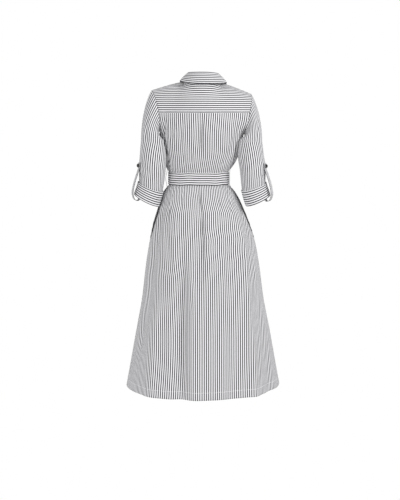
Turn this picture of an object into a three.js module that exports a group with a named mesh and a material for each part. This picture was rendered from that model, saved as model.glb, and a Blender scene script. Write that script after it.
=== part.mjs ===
// A belted shirt dress with turned-up elbow sleeves, as it hangs when worn, in millimetres.
// +Z is up, the front faces -Y and the wearer's left is +X. The origin is midway between the
// shoulders, level with the base of the neck.
import * as THREE from "three";
import { mergeVertices } from "three/addons/utils/BufferGeometryUtils.js";

// Driving sizes
const CLOTH = 2; // thickness of a cloth wall
const SEAM = 0.3; // gap between two pieces at a seam
const OVERLAY = 0.6; // gap under a strip or button that lies on a curved panel
const UNDERARM_Z = -215;
const WAIST_Z = -382;
const HEM_Z = -1182;
const HEM_DROP_LEFT = 3.5; // the hem hangs lower at the wearer's left by this much
const HEM_DIP_BACK = 18; // and lower at the centre of the back than at the sides
const YOKE_SEAM_Z = -131;
const ROUNDNESS = 2.3; // exponent of the body's rings, 2 is an ellipse
const NECK_HALF = 68; // half the neckline's width
const SHOULDER_HALF = 190; // half the width over the shoulder seams
const SHOULDER_TILT = 0.037; // the left shoulder is carried higher
const NECK_SWAY = -7; // the neck leans to the wearer's right
const NECK_SHARE = 0.36; // share of a half back or front that the neckline takes at the top

const PLACKET_WIDTH = 32;
const PLACKET_CLOTH = 1.6;
const BUTTON_WIDTH = 15;
const BUTTON_HEIGHT = 2.6;
const BELT_TOP_Z = -357;
const BELT_BOTTOM_Z = -404;
const BELT_CLOTH = 1.8;
const BELT_START_ANGLE = 250; // degrees round the waist, 270 is the centre front
const BELT_LAP_ANGLE = 52;
const TAB_WIDTH = 25;
const TAB_CLOTH = 1.5;
const TAB_PLACE = 0.085; // share of the way round the sleeve, from its outer side to the back
const LOOP_WIDTH = 2; // thread belt loops

// Rings of the bodice and skirt. half is half the width, back and front are depths from the side
// seams, and sway moves the ring's middle to the wearer's left.
const RINGS = [
  { z: -215, half: 163, back: 98, front: 112, sway: 2 },
  { z: -262, half: 155, back: 94, front: 132, sway: 3 },
  { z: -312, half: 140, back: 86, front: 122, sway: 6 },
  { z: -335, half: 129, back: 81, front: 110, sway: 9 },
  { z: -348, half: 120, back: 76, front: 103, sway: 11 },
  { z: -355, half: 114.6, back: 72, front: 99, sway: 11 },
  { z: -382, half: 114.6, back: 72, front: 99, sway: 11 },
  { z: -406, half: 114.6, back: 72, front: 99, sway: 11 },
  { z: -414, half: 122, back: 79, front: 105, sway: 10 },
  { z: -432, half: 137, back: 90, front: 113, sway: 9 },
  { z: -458, half: 151, back: 101, front: 122, sway: 7 },
  { z: -504, half: 168, back: 118, front: 134, sway: 3 },
  { z: -550, half: 185, back: 132, front: 145, sway: 1 },
  { z: -620, half: 203, back: 149, front: 157, sway: -3 },
  { z: -712, half: 219, back: 165, front: 169, sway: -4 },
  { z: -851, half: 237, back: 185, front: 184, sway: -5 },
  { z: -966, half: 259, back: 203, front: 198, sway: -6 },
  { z: -1082, half: 280, back: 220, front: 211, sway: -6 },
  { z: -1190, half: 300, back: 236, front: 226, sway: -6 },
];

// Levels that the rows of the bodice's and skirt's walls pass through, so that they turn sharply
// in at the belt.
const BODICE_LEVELS = [-215, -252, -290, -320, -337, -348, -355, -382];
const SKIRT_LEVELS = [
  -382, -406, -414, -432, -458, -504, -560, -630, -720, -820, -930, -1050, -1182,
];

// Soft folds. at and end are places across a half from -1, the right side seam, over 0, the
// centre, to 1, the left side seam, at the fold's top and bottom. A negative depth is a trough.
const BACK_FOLDS = [
  { top: -131, bottom: -345, at: 0.01, end: 0.02, width: 0.045, depth: -7 },
  { top: -215, bottom: -345, at: 0.12, end: 0.16, width: 0.05, depth: -4 },
  { top: -140, bottom: -350, at: -0.66, end: -0.42, width: 0.07, depth: -6 },
  { top: -135, bottom: -350, at: 0.72, end: 0.62, width: 0.08, depth: -9 },
  { top: -420, bottom: -860, at: 0, end: 0.05, width: 0.035, depth: -10 },
  { top: -480, bottom: -900, at: -0.06, end: -0.04, width: 0.05, depth: 6 },
  { top: -640, bottom: -1330, at: 0.2, end: 0.14, width: 0.06, depth: -17 },
  { top: -700, bottom: -1330, at: 0.07, end: 0.04, width: 0.06, depth: 8 },
  { top: -420, bottom: -1100, at: 0.64, end: 0.72, width: 0.09, depth: -13 },
  { top: -780, bottom: -1330, at: 0.5, end: 0.4, width: 0.09, depth: 11 },
  { top: -520, bottom: -1330, at: -0.53, end: -0.4, width: 0.05, depth: 12 },
  { top: -520, bottom: -1330, at: -0.32, end: -0.2, width: 0.1, depth: -11 },
  { top: -420, bottom: -760, at: -0.74, end: -0.72, width: 0.07, depth: -8 },
  { top: -760, bottom: -1330, at: -0.68, end: -0.62, width: 0.08, depth: -9 },
];
const FRONT_FOLDS = [
  { top: -170, bottom: -345, at: 0.55, end: 0.34, width: 0.08, depth: -6 },
  { top: -180, bottom: -345, at: -0.5, end: -0.36, width: 0.08, depth: -6 },
  { top: -425, bottom: -900, at: 0.3, end: 0.4, width: 0.06, depth: -9 },
  { top: -425, bottom: -840, at: -0.34, end: -0.42, width: 0.06, depth: -9 },
  { top: -600, bottom: -1330, at: 0.5, end: 0.56, width: 0.09, depth: 11 },
  { top: -640, bottom: -1330, at: -0.52, end: -0.6, width: 0.09, depth: 12 },
  { top: -660, bottom: -1330, at: 0.28, end: 0.3, width: 0.08, depth: -13 },
  { top: -620, bottom: -1330, at: -0.3, end: -0.34, width: 0.08, depth: -14 },
];
const FOLD_FADE = 150; // a fold comes and goes over this height

// Rings of the sleeves, from below the underarm to the cuff's fold. share is the way along, x and
// y are the ring's middle, x outwards, and tilt and pitch lift its outer side and drop its back.
const SLEEVE_RINGS = {
  left: [
    { share: 0, x: 183, y: 34, z: -238, half: 48, depth: 50, turn: 0.1, tilt: 4, pitch: 0 },
    { share: 0.25, x: 184, y: 44, z: -293, half: 52, depth: 46, turn: 0.3, tilt: 5, pitch: 0 },
    { share: 0.5, x: 188, y: 46, z: -344, half: 52, depth: 46, turn: 0.3, tilt: 10, pitch: 3 },
    { share: 0.76, x: 194, y: 43, z: -410, half: 49, depth: 46, turn: 0.1, tilt: 22, pitch: 8 },
    { share: 1, x: 209, y: 38, z: -463, half: 51, depth: 48, turn: 0.05, tilt: 26, pitch: 9 },
  ],
  right: [
    { share: 0, x: 184, y: 34, z: -238, half: 47, depth: 50, turn: 0.1, tilt: 2, pitch: 0 },
    { share: 0.25, x: 188, y: 40, z: -293, half: 50, depth: 46, turn: 0.25, tilt: 4, pitch: 0 },
    { share: 0.5, x: 196, y: 43, z: -344, half: 50, depth: 46, turn: 0.2, tilt: 8, pitch: 3 },
    { share: 0.76, x: 200, y: 41, z: -410, half: 47.5, depth: 46, turn: 0.1, tilt: 19, pitch: 8 },
    { share: 1, x: 216, y: 36, z: -464, half: 49, depth: 48, turn: 0.05, tilt: 24, pitch: 9 },
  ],
};
const CUFF_TOP_SHARE = 0.76;
const ARMHOLE_GAP = 0.8; // from the edge of the bodice to the sleeve
const SLEEVE_CLEAR = 4; // least gap between a hanging sleeve and the body
const CUFF_CLEAR = 6; // added to it where the cuff is

// The cuff's section. out is measured from the sleeve's outer face, and along runs from the
// cuff's top edge to its fold.
const CUFF_SECTION = [
  { out: 4.2, along: 0 },
  { out: 4.2, along: 0.5 },
  { out: 4.2, along: 0.93 },
  { out: 1.6, along: 1 },
  { out: -1.8, along: 0.95 },
  { out: -1.8, along: 0.87 },
  { out: 0.2, along: 0.87 },
  { out: 2.3, along: 0.92 },
  { out: 2.3, along: 0.5 },
  { out: 2.3, along: 0 },
];
const SLEEVE_END_ALONG = 0.863;

// The roll tab below its button, from the cuff's fold at its outer side.
const TAB_PATH = [
  { out: 4, up: 62 },
  { out: 12, up: 32 },
  { out: 14.5, up: 10 },
  { out: 9, up: -9 },
  { out: 0, up: -16 },
  { out: -10, up: -14 },
  { out: -13, up: -2 },
  { out: -15, up: 12 },
];

const BUTTON_HEIGHTS = [-138, -196, -254, -312, -450, -540, -630, -720, -810, -900, -990];

// Colours and finish
const CLOTH_FINISH = { color: 0xb9b7ba, roughness: 0.85, metalness: 0 };
const cloth = new THREE.MeshStandardMaterial(CLOTH_FINISH);
const thread = new THREE.MeshStandardMaterial({ color: 0xd8d6d8, roughness: 0.9, metalness: 0 });
const shell = new THREE.MeshStandardMaterial({ color: 0x15151a, roughness: 0.3, metalness: 0 });

const BACK = 1;
const FRONT = -1;
const { lerp, clamp, degToRad } = THREE.MathUtils;
const smooth = (x) => THREE.MathUtils.smoothstep(x, 0, 1);
const vector = (x, y, z) => new THREE.Vector3(x, y, z);
const range = (count, from, to) =>
  Array.from({ length: count + 1 }, (_, i) => lerp(from, to, i / count));

// A smooth curve through the rows of a table, read where the column key has the value at.
function readTable(rows, key, at) {
  const way = Math.sign(rows[1][key] - rows[0][key]);
  let i = 0;
  while (i < rows.length - 2 && (at - rows[i + 1][key]) * way > 0) {
    i += 1;
  }
  const a = rows[i];
  const b = rows[i + 1];
  const before = rows[Math.max(i - 1, 0)];
  const after = rows[Math.min(i + 2, rows.length - 1)];
  const span = b[key] - a[key];
  const f = clamp((at - a[key]) / span, 0, 1);
  const row = {};
  for (const name of Object.keys(a)) {
    const slopeA = ((b[name] - before[name]) / (b[key] - before[key])) * span;
    const slopeB = ((after[name] - a[name]) / (after[key] - a[key])) * span;
    const rise = b[name] - a[name];
    row[name] = a[name] + f * (slopeA + f * (3 * rise - 2 * slopeA - slopeB
      + f * (slopeA + slopeB - 2 * rise)));
  }
  return row;
}

function foldDepth(face, across, z) {
  let depth = 0;
  for (const fold of face === BACK ? BACK_FOLDS : FRONT_FOLDS) {
    const down = clamp((fold.top - z) / (fold.top - fold.bottom), 0, 1);
    const middle = lerp(fold.at, fold.end, down);
    const near = Math.exp(-(((across - middle) / fold.width) ** 2));
    const fade = smooth((fold.top - z) / FOLD_FADE) * smooth((z - fold.bottom) / FOLD_FADE);
    depth += fold.depth * near * fade;
  }
  return depth * (1 - across ** 8);
}

// A point of a ring. across runs from -1 at the right side seam to 1 at the left one.
function ringPoint(face, across, z, out = 0) {
  const ring = readTable(RINGS, "z", z);
  const angle = (Math.PI / 2) * across;
  const depth = face === BACK ? ring.back : ring.front;
  const sine = Math.abs(Math.sin(angle)) ** (2 / ROUNDNESS);
  const cosine = Math.abs(Math.cos(angle)) ** (2 / ROUNDNESS);
  const x = Math.sign(across) * ring.half * sine;
  const y = face * depth * cosine;
  const away = vector(x / ring.half ** 2, y / depth ** 2, 0).normalize();
  const lift = foldDepth(face, across, z) + out;
  return vector(x + ring.sway, y, z).addScaledVector(away, lift);
}

// The neckline and shoulder seam of a half, from the centre, 0, to the sleeve, 1.
function topEdge(face, share) {
  if (share < NECK_SHARE) {
    const angle = (Math.PI / 2) * (share / NECK_SHARE);
    const x = NECK_HALF * Math.sin(angle);
    const cosine = Math.cos(angle);
    return face === BACK
      ? vector(x, -5 + 63 * cosine, -14 + 4 * cosine)
      : vector(x, -5 - 57 * cosine, -14 - 74 * cosine ** 1.4);
  }
  const f = (share - NECK_SHARE) / (1 - NECK_SHARE);
  return vector(lerp(NECK_HALF, SHOULDER_HALF, f), -5 + 5 * f, -14 - 38 * f ** 1.25);
}

// The top edge with its corner at the side of the neck eased over a width of shares, for the
// rows below it.
function easedTopEdge(face, share, width) {
  const eased = vector();
  for (const step of TOP_EDGE_STEPS) {
    const place = Math.min(share + step * width, 1);
    const point = topEdge(face, Math.abs(place));
    point.x *= place < 0 ? -1 : 1;
    eased.addScaledVector(point, 1 / TOP_EDGE_STEPS.length);
  }
  return eased;
}

// A quadratic curve through three points, at 0, 0.55 and 1.
function throughThree(a, b, c, t) {
  const middle = 0.55;
  const wa = ((t - middle) * (t - 1)) / middle;
  const wb = (t * (t - 1)) / (middle * (middle - 1));
  const wc = (t * (t - middle)) / (1 - middle);
  return vector().addScaledVector(a, wa).addScaledVector(b, wb).addScaledVector(c, wc);
}

const TOP_EDGE_STEPS = [-1, -0.66, -0.33, 0, 0.33, 0.66, 1];
const SHOULDER_BLADE = [vector(0, 88, -62), vector(110, 66, -46), vector(172, 60, -80)];
const CHEST = [vector(0, -86, -112), vector(95, -74, -72), vector(165, -50, -86)];

// How far outwards the armholes are set at the height of the shoulder blades and above the
// underarm. The wearer's left one is cut further in and the right one stands out.
const ARMHOLE_OUT = { left: { high: -8, low: -18 }, right: { high: 24, low: 6 } };

// The body above the underarm: from the neckline or shoulder, down = 0, to the ring, down = 1.
function upperPoint(face, across, down) {
  const share = Math.abs(across);
  const side = across < 0 ? -1 : 1;
  const armhole = side > 0 ? ARMHOLE_OUT.left : ARMHOLE_OUT.right;
  const width = 0.3 * smooth(down / 0.4) * (1 - share);
  const top = easedTopEdge(face, share, width);
  const high = throughThree(...(face === BACK ? SHOULDER_BLADE : CHEST), share);
  const ring = ringPoint(face, share, UNDERARM_Z);
  const inwards = ringPoint(face, share - 0.01, UNDERARM_Z).sub(ring).normalize();
  const low = ring.clone().addScaledVector(inwards, (face === BACK ? 75 : 65) * share ** 2);
  low.z += lerp(65, 10, share ** 2);
  low.x += armhole.low * share ** 6;
  high.x += armhole.high * share ** 6;
  low.y += face === FRONT ? -6 * (1 - share) : 3 * (1 - share);
  const up = 1 - down;
  const point = vector()
    .addScaledVector(top, up ** 3)
    .addScaledVector(high, 3 * up ** 2 * down)
    .addScaledVector(low, 3 * up * down ** 2)
    .addScaledVector(ring, down ** 3);
  const sway = readTable(RINGS, "z", UNDERARM_Z).sway;
  const half = point.x - sway * (3 * up * down ** 2 + down ** 3);
  point.x = side * half + sway * (3 * up * down ** 2 + down ** 3);
  point.x += NECK_SWAY * up ** 3 * (1 - share);
  point.z += SHOULDER_TILT * point.x * up;
  return point;
}

// The whole bodice: row 0 is the neckline or shoulder, 1 the underarm and 2 the waist.
function bodicePoint(face, across, row) {
  if (row > 1) {
    return ringPoint(face, across, lerp(UNDERARM_Z, WAIST_Z, row - 1));
  }
  const point = upperPoint(face, across, row);
  const blade = foldDepth(face, across, point.z) - foldDepth(face, across, UNDERARM_Z) * row ** 3;
  point.y += face * blade;
  return point;
}

function hemZ(face, across) {
  const dip = face === BACK ? HEM_DIP_BACK * (1 - across ** 2) ** 2 : 0;
  return HEM_Z - HEM_DROP_LEFT * across - dip;
}

// The skirt: row 0 is the waist and 1 the hem.
function skirtPoint(face, across, row) {
  return ringPoint(face, across, lerp(WAIST_Z, hemZ(face, across), row));
}

// The outward normal of a surface, past a side seam on the other half where the seam is closed.
function normalAt(surface, face, across, row, closed) {
  const step = 0.004;
  const read = (a, r) => {
    const past = Math.abs(a) > 1;
    if (past && closed) {
      return surface(-face, Math.sign(a) * (2 - Math.abs(a)), r);
    }
    return surface(face, clamp(a, -1, 1), r);
  };
  const round = read(across - step, row).sub(read(across + step, row)).multiplyScalar(face);
  const down = read(across, row + step).sub(read(across, Math.max(row - step, 0)));
  return down.cross(round).normalize();
}

const SHOULDER_ROW = 0.002; // the row of the shoulder seam's edges

function bodiceNormal(face, across, row) {
  const normal = normalAt(bodicePoint, face, across, row, row >= 1);
  if (row < SHOULDER_ROW * 2 && Math.abs(across) >= NECK_SHARE) {
    normal.add(normalAt(bodicePoint, -face, across, row, false)).normalize();
  }
  if (row < 1 && Math.abs(across) > 0.99) {
    const side = Math.sign(across);
    normal.x = side * Math.max(side * normal.x, 0);
    normal.normalize();
  }
  return normal;
}

const skirtNormal = (face, across, row) => normalAt(skirtPoint, face, across, row, true);

function solidFrom(positions, indices) {
  const geometry = new THREE.BufferGeometry();
  geometry.setAttribute("position", new THREE.Float32BufferAttribute(positions, 3));
  const [a, b, c] = [vector(), vector(), vector()];
  const read = (target, i) => target.fromArray(positions, 3 * i);
  let volume = 0;
  for (let i = 0; i < indices.length; i += 3) {
    read(a, indices[i]);
    read(b, indices[i + 1]);
    read(c, indices[i + 2]);
    volume += a.dot(b.cross(c));
  }
  const facing = volume < 0 ? indices.reverse() : indices;
  geometry.setIndex(facing);
  geometry.computeVertexNormals();
  return geometry;
}

// A closed wall: its outer face is the grid of points, and its inner face lies inside it.
function wall(grid, normals, thickness, closed = false) {
  const rows = grid.length;
  const columns = grid[0].length;
  const positions = [];
  for (const depth of [0, thickness]) {
    grid.forEach((line, i) =>
      line.forEach((point, j) =>
        positions.push(...point.clone().addScaledVector(normals[i][j], -depth).toArray())));
  }
  const inner = rows * columns;
  const at = (i, j) => i * columns + (j % columns);
  const indices = [];
  const quad = (a, b, c, d) => indices.push(a, b, c, a, c, d);
  const across = closed ? columns : columns - 1;
  for (let i = 0; i < rows - 1; i += 1) {
    for (let j = 0; j < across; j += 1) {
      const [a, b, c, d] = [at(i, j), at(i + 1, j), at(i + 1, j + 1), at(i, j + 1)];
      quad(a, b, c, d);
      quad(inner + d, inner + c, inner + b, inner + a);
    }
    if (!closed) {
      const [a, b] = [at(i, 0), at(i + 1, 0)];
      const [c, d] = [at(i, across), at(i + 1, across)];
      quad(a, inner + a, inner + b, b);
      quad(d, inner + d, inner + c, c);
    }
  }
  for (let j = 0; j < across; j += 1) {
    const [a, b] = [at(0, j), at(0, j + 1)];
    const [c, d] = [at(rows - 1, j), at(rows - 1, j + 1)];
    quad(b, inner + b, inner + a, a);
    quad(c, inner + c, inner + d, d);
  }
  return solidFrom(positions, indices);
}

const dress = new THREE.Group();

function add(name, geometry, material) {
  const mesh = new THREE.Mesh(geometry, material);
  mesh.name = name;
  dress.add(mesh);
  return mesh;
}

// A wall on part of a surface. rowsOf gives a column's rows, from top to bottom.
function panel(face, acrosses, rowsOf, point, normal, thickness) {
  const count = rowsOf(acrosses[0]).length;
  const grid = [];
  const normals = [];
  for (let i = 0; i < count; i += 1) {
    normals.push(acrosses.map((across) => normal(face, across, rowsOf(across)[i])));
    grid.push(acrosses.map((across) => point(face, across, rowsOf(across)[i])));
  }
  return wall(grid, normals, thickness);
}

// Half a seam's gap as a share of a half back or front
const SEAM_SHARE = 0.0009;
const SEAM_ROW = SEAM / 2 / (UNDERARM_Z - WAIST_Z);
const mirrored = (places) => places.map((place) => -place).reverse();
const bothHalves = (places) => [...mirrored(places), 0, ...places].reverse();

// Columns of the bodice: even steps along the neckline, then along the shoulder
const neckColumns = range(6, 0, NECK_SHARE);
const shoulderColumns = range(6, NECK_SHARE, 1 - SEAM_SHARE);
const bodiceColumns = [...neckColumns.slice(1), ...shoulderColumns.slice(1)];
const bodiceHalf = [SEAM_SHARE, ...bodiceColumns];

// The row of the bodice's back where the yoke seam runs, moved by off millimetres.
function yokeRow(across, off) {
  let low = 0;
  let high = 1;
  for (let i = 0; i < 30; i += 1) {
    const middle = (low + high) / 2;
    const isAbove = bodicePoint(BACK, across, middle).z > YOKE_SEAM_Z + off;
    [low, high] = isAbove ? [middle, high] : [low, middle];
  }
  return low;
}

// Yoke, back and fronts of the bodice
add("yoke", panel(BACK, bothHalves(bodiceColumns),
  (across) => range(4, SHOULDER_ROW, yokeRow(across, SEAM / 2)),
  bodicePoint, bodiceNormal, CLOTH), cloth);

const bodiceRowAt = (z) => 1 + (UNDERARM_Z - z) / (UNDERARM_Z - WAIST_Z);
const lowerRows = BODICE_LEVELS.map(bodiceRowAt);
lowerRows[lowerRows.length - 1] -= SEAM_ROW;
const backRows = (across) => [
  ...range(3, yokeRow(across, -SEAM / 2), 1).slice(0, -1),
  ...lowerRows,
];
add("back_bodice",
  panel(BACK, bothHalves(bodiceColumns), backRows, bodicePoint, bodiceNormal, CLOTH), cloth);

const upperRows = [SHOULDER_ROW, 0.1, 0.2, 0.3, 0.4, 0.6, 0.8];
const frontRows = [...upperRows, ...lowerRows];
const bodiceFront = (places) =>
  panel(FRONT, places, () => frontRows, bodicePoint, bodiceNormal, CLOTH);
add("front_bodice_left", bodiceFront(bodiceHalf), cloth);
add("front_bodice_right", bodiceFront(mirrored(bodiceHalf)), cloth);

// Skirt
const skirtRowAt = (z) => (WAIST_Z - z) / (WAIST_Z - HEM_Z);
const skirtRows = SKIRT_LEVELS.map(skirtRowAt);
skirtRows[0] = skirtRowAt(WAIST_Z - SEAM / 2);
const skirtPanel = (face, acrosses) =>
  panel(face, acrosses, () => skirtRows, skirtPoint, skirtNormal, CLOTH);
const skirtHalf = range(17, SEAM_SHARE, 1 - SEAM_SHARE);
add("skirt_back", skirtPanel(BACK, bothHalves(skirtHalf.slice(1))), cloth);
add("skirt_front_left", skirtPanel(FRONT, skirtHalf), cloth);
add("skirt_front_right", skirtPanel(FRONT, mirrored(skirtHalf)), cloth);

// The place across the front where a surface has the distance x from the centre line.
function acrossAt(surface, x, row) {
  const centre = surface(FRONT, 0, row).x;
  let low = -0.5;
  let high = 0.5;
  for (let i = 0; i < 30; i += 1) {
    const middle = (low + high) / 2;
    [low, high] = surface(FRONT, middle, row).x - centre < x ? [middle, high] : [low, middle];
  }
  return low;
}

// Button placket: a strip over both fronts, above and below the belt
function placketGrid(surface, normal, rows) {
  const places = range(4, -PLACKET_WIDTH / 2, PLACKET_WIDTH / 2);
  const normals = rows.map((row) =>
    places.map((x) => normal(FRONT, acrossAt(surface, x, row), row)));
  const points = rows.map((row, i) => places.map((x, j) =>
    surface(FRONT, acrossAt(surface, x, row), row)
      .addScaledVector(normals[i][j], OVERLAY + PLACKET_CLOTH)));
  return { points, normals };
}

const bodiceStrip = placketGrid(bodicePoint, bodiceNormal, frontRows.slice(0, -1));
const skirtStrip = placketGrid(skirtPoint, skirtNormal, skirtRows.slice(1));
add("placket_bodice", wall(bodiceStrip.points, bodiceStrip.normals, PLACKET_CLOTH), cloth);
add("placket_skirt", wall(skirtStrip.points, skirtStrip.normals, PLACKET_CLOTH), cloth);

// A button with a raised rim, its underside at the origin and its top towards +Z
function buttonGeometry(width) {
  const r = width / 2;
  const profile = [
    [0, 0], [r * 0.9, 0], [r, BUTTON_HEIGHT * 0.45], [r * 0.86, BUTTON_HEIGHT],
    [r * 0.62, BUTTON_HEIGHT * 0.72], [0, BUTTON_HEIGHT * 0.72],
  ].map(([x, y]) => new THREE.Vector2(x, y));
  const lathe = new THREE.LatheGeometry(profile, 12).rotateX(Math.PI / 2);
  lathe.deleteAttribute("normal");
  lathe.deleteAttribute("uv");
  return mergeVertices(lathe, 1e-3);
}

const buttonSolid = buttonGeometry(BUTTON_WIDTH);

function placeButton(name, foot, normal) {
  const mesh = add(name, buttonSolid, shell);
  mesh.position.copy(foot);
  mesh.quaternion.setFromUnitVectors(vector(0, 0, 1), normal);
}

// Buttons down the placket, each on the flat between two of its rows
BUTTON_HEIGHTS.forEach((z, number) => {
  const strip = z > WAIST_Z ? bodiceStrip : skirtStrip;
  const line = strip.points.map((points) => points[2]);
  const i = line.findIndex((point, k) => point.z >= z && line[k + 1].z < z);
  const along = line[i + 1].clone().sub(line[i]);
  const foot = line[i].clone().addScaledVector(along, (line[i].z - z) / -along.z);
  const normal = along.cross(vector(1, 0, 0)).normalize();
  foot.addScaledVector(normal, OVERLAY);
  placeButton("button_" + String(number + 1).padStart(2, "0"), foot, normal);
});

// Belt: one strip wound round the waist, its end lapped over its start at the front
const beltTurn = 360 + BELT_LAP_ANGLE;
const beltAngles = range(54, BELT_START_ANGLE, BELT_START_ANGLE + beltTurn);

function waistPoint(degrees, z, out) {
  const round = ((degrees % 360) + 360) % 360;
  const isBack = round <= 180;
  const across = isBack ? 1 - round / 90 : (round - 270) / 90;
  return ringPoint(isBack ? BACK : FRONT, across, z, out);
}

function beltOut(degrees) {
  const lapped = (degrees - BELT_START_ANGLE - 360 + 22) / 20;
  return 0.9 + BELT_CLOTH + smooth(lapped) * (BELT_CLOTH + 0.6);
}

// The placket passes under the belt only at the waist seam, so the belt stands off the waist.
const beltGrid = range(2, BELT_TOP_Z, BELT_BOTTOM_Z).map((z) =>
  beltAngles.map((degrees) => {
    const point = waistPoint(degrees, WAIST_Z, beltOut(degrees));
    point.z = z;
    return point;
  }));
const beltNormals = beltGrid.map((line) =>
  line.map((point, j) => {
    const before = line[Math.max(j - 1, 0)];
    const after = line[Math.min(j + 1, line.length - 1)];
    return after.clone().sub(before).cross(vector(0, 0, 1)).normalize();
  }));
add("belt", wall(beltGrid, beltNormals, BELT_CLOTH), cloth);

// A round cord of thread along a few points
function threadLoop(points) {
  const circle = new THREE.Shape().absarc(0, 0, LOOP_WIDTH / 2, 0, 2 * Math.PI);
  const extrudePath = new THREE.CatmullRomCurve3(points);
  const settings = { steps: 10, curveSegments: 3, bevelEnabled: false, extrudePath };
  const tube = new THREE.ExtrudeGeometry(circle, settings);
  tube.deleteAttribute("normal");
  tube.deleteAttribute("uv");
  return mergeVertices(tube, 1e-3);
}

// Belt loops at the side seams: the left one stands off the belt, the right one lies on it
for (const { name, side, off } of [
  { name: "belt_loop_left", side: 1, off: 9 },
  { name: "belt_loop_right", side: -1, off: 1.5 },
]) {
  const across = side * 0.93;
  const reach = (z, out) => ringPoint(BACK, across, z, out);
  const belt = waistPoint(90 - across * 90, WAIST_Z, beltOut(BELT_START_ANGLE + 90)).x;
  const topZ = BELT_TOP_Z + 8;
  const bottomZ = BELT_BOTTOM_Z - 9;
  const endOut = LOOP_WIDTH / 2 + 0.9;
  const middle = reach(WAIST_Z, 0);
  middle.x = belt + side * (off + LOOP_WIDTH / 2);
  const upper = middle.clone().setZ(BELT_TOP_Z + 1);
  upper.x = belt + side * (Math.min(off, 4) + LOOP_WIDTH / 2);
  const lower = middle.clone().setZ(BELT_BOTTOM_Z - 1);
  lower.x = belt + side * (Math.min(off, 5) + LOOP_WIDTH / 2);
  const points = [reach(topZ, endOut), upper, middle, lower, reach(bottomZ, endOut)];
  add(name, threadLoop(points), thread);
}

// A place on the edge of the armhole. round runs from the shoulder over the back, the underarm
// and the front, back to the shoulder.
function armholePoint(side, round) {
  const face = round <= 0.5 ? BACK : FRONT;
  const row = round <= 0.5 ? 2 * round : 2 - 2 * round;
  const point = bodicePoint(face, side, row);
  point.x += side * ARMHOLE_GAP;
  return point;
}

// Moves a point of a sleeve out of the body, to a clear distance from its ring.
function clearOfBody(point, clear) {
  if (point.z > UNDERARM_Z + 20) {
    return point;
  }
  const ring = readTable(RINGS, "z", Math.min(point.z, UNDERARM_Z));
  const depth = (point.y > 0 ? ring.back : ring.front) + clear;
  const x = point.x - ring.sway;
  const nearness = (Math.abs(x) / (ring.half + clear)) ** ROUNDNESS
    + (Math.abs(point.y) / depth) ** ROUNDNESS;
  const grow = nearness < 1 ? nearness ** (-1 / ROUNDNESS) : 1;
  const share = smooth((UNDERARM_Z + 20 - point.z) / 20);
  point.x = ring.sway + x * lerp(1, grow, share);
  point.y *= lerp(1, grow, share);
  return point;
}

// A point of a sleeve's ring. round runs from its outer side over the back.
function sleeveRing(side, round, share) {
  const ring = readTable(SLEEVE_RINGS[side > 0 ? "left" : "right"], "share", share);
  const angle = 2 * Math.PI * round;
  const wide = ring.half * Math.cos(angle);
  const deep = ring.depth * Math.sin(angle);
  const turn = -ring.turn;
  const across = wide * Math.cos(turn) - deep * Math.sin(turn);
  const back = wide * Math.sin(turn) + deep * Math.cos(turn);
  const tilt = degToRad(ring.tilt);
  const z = ring.z + across * Math.sin(tilt) - back * Math.sin(degToRad(ring.pitch));
  const clear = SLEEVE_CLEAR + CUFF_CLEAR * smooth((share - 0.45) / 0.3);
  return clearOfBody(vector(side * (ring.x + across * Math.cos(tilt)), ring.y + back, z), clear);
}

// The sleeve: row 0 is the armhole, 1 the first whole ring and 2 the cuff's fold.
function sleevePoint(side, round, row) {
  if (row >= 1) {
    return sleeveRing(side, round, row - 1);
  }
  const start = armholePoint(side, round);
  const end = sleeveRing(side, round, 0);
  const angle = 2 * Math.PI * round;
  const cosine = Math.cos(angle);
  const leaving = vector(side * (0.46 - 0.08 * cosine), 0.42 * Math.sin(angle),
    0.15 * cosine - 0.8);
  const pull = 0.36 * start.distanceTo(end);
  const first = start.clone().addScaledVector(leaving, pull);
  const second = end.clone().add(vector(0, 0, pull));
  const curve = new THREE.CubicBezierCurve3(start, first, second, end);
  return clearOfBody(curve.getPoint(row), SLEEVE_CLEAR);
}

function sleeveNormal(side, round, row) {
  const step = 0.004;
  const turn = (r) => ((r % 1) + 1) % 1;
  const after = sleevePoint(side, turn(round + step), row);
  const before = sleevePoint(side, turn(round - step), row);
  const lower = sleevePoint(side, round, Math.min(row + step, 2));
  const upper = sleevePoint(side, round, Math.max(row - step, 0));
  const normal = lower.sub(upper).cross(after.sub(before)).multiplyScalar(side);
  if (row === 0) {
    normal.x = 0;
  }
  return normal.normalize();
}

const SIDES = [
  { word: "left", side: 1 },
  { word: "right", side: -1 },
];
const SLEEVE_COLUMNS = 20;
const sleeveRounds = range(SLEEVE_COLUMNS, 0, 1).slice(0, -1);
const cuffRow = (along) => 1 + lerp(CUFF_TOP_SHARE, 1, along);

function sleeveWall(side) {
  const hanging = [1.12, 1.25, 1.38, 1.5, 1.63, cuffRow(0), cuffRow(0.5)];
  const rows = [...range(5, 0, 1), ...hanging, cuffRow(SLEEVE_END_ALONG)];
  const grid = rows.map((row) => sleeveRounds.map((round) => sleevePoint(side, round, row)));
  const normals = rows.map((row) => sleeveRounds.map((round) => sleeveNormal(side, round, row)));
  return wall(grid, normals, CLOTH, true);
}

// The cuff: its closed section, carried round the sleeve
function cuffSolid(side) {
  const positions = [];
  for (const round of sleeveRounds) {
    for (const { out, along } of CUFF_SECTION) {
      const row = cuffRow(along);
      const normal = sleeveNormal(side, round, row);
      positions.push(...sleevePoint(side, round, row).addScaledVector(normal, out).toArray());
    }
  }
  const indices = [];
  const count = CUFF_SECTION.length;
  for (let i = 0; i < SLEEVE_COLUMNS; i += 1) {
    for (let j = 0; j < count; j += 1) {
      const next = ((i + 1) % SLEEVE_COLUMNS) * count;
      const [a, b] = [i * count + j, i * count + ((j + 1) % count)];
      const [c, d] = [next + ((j + 1) % count), next + j];
      indices.push(a, b, c, a, c, d);
    }
  }
  return solidFrom(positions, indices);
}

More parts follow.
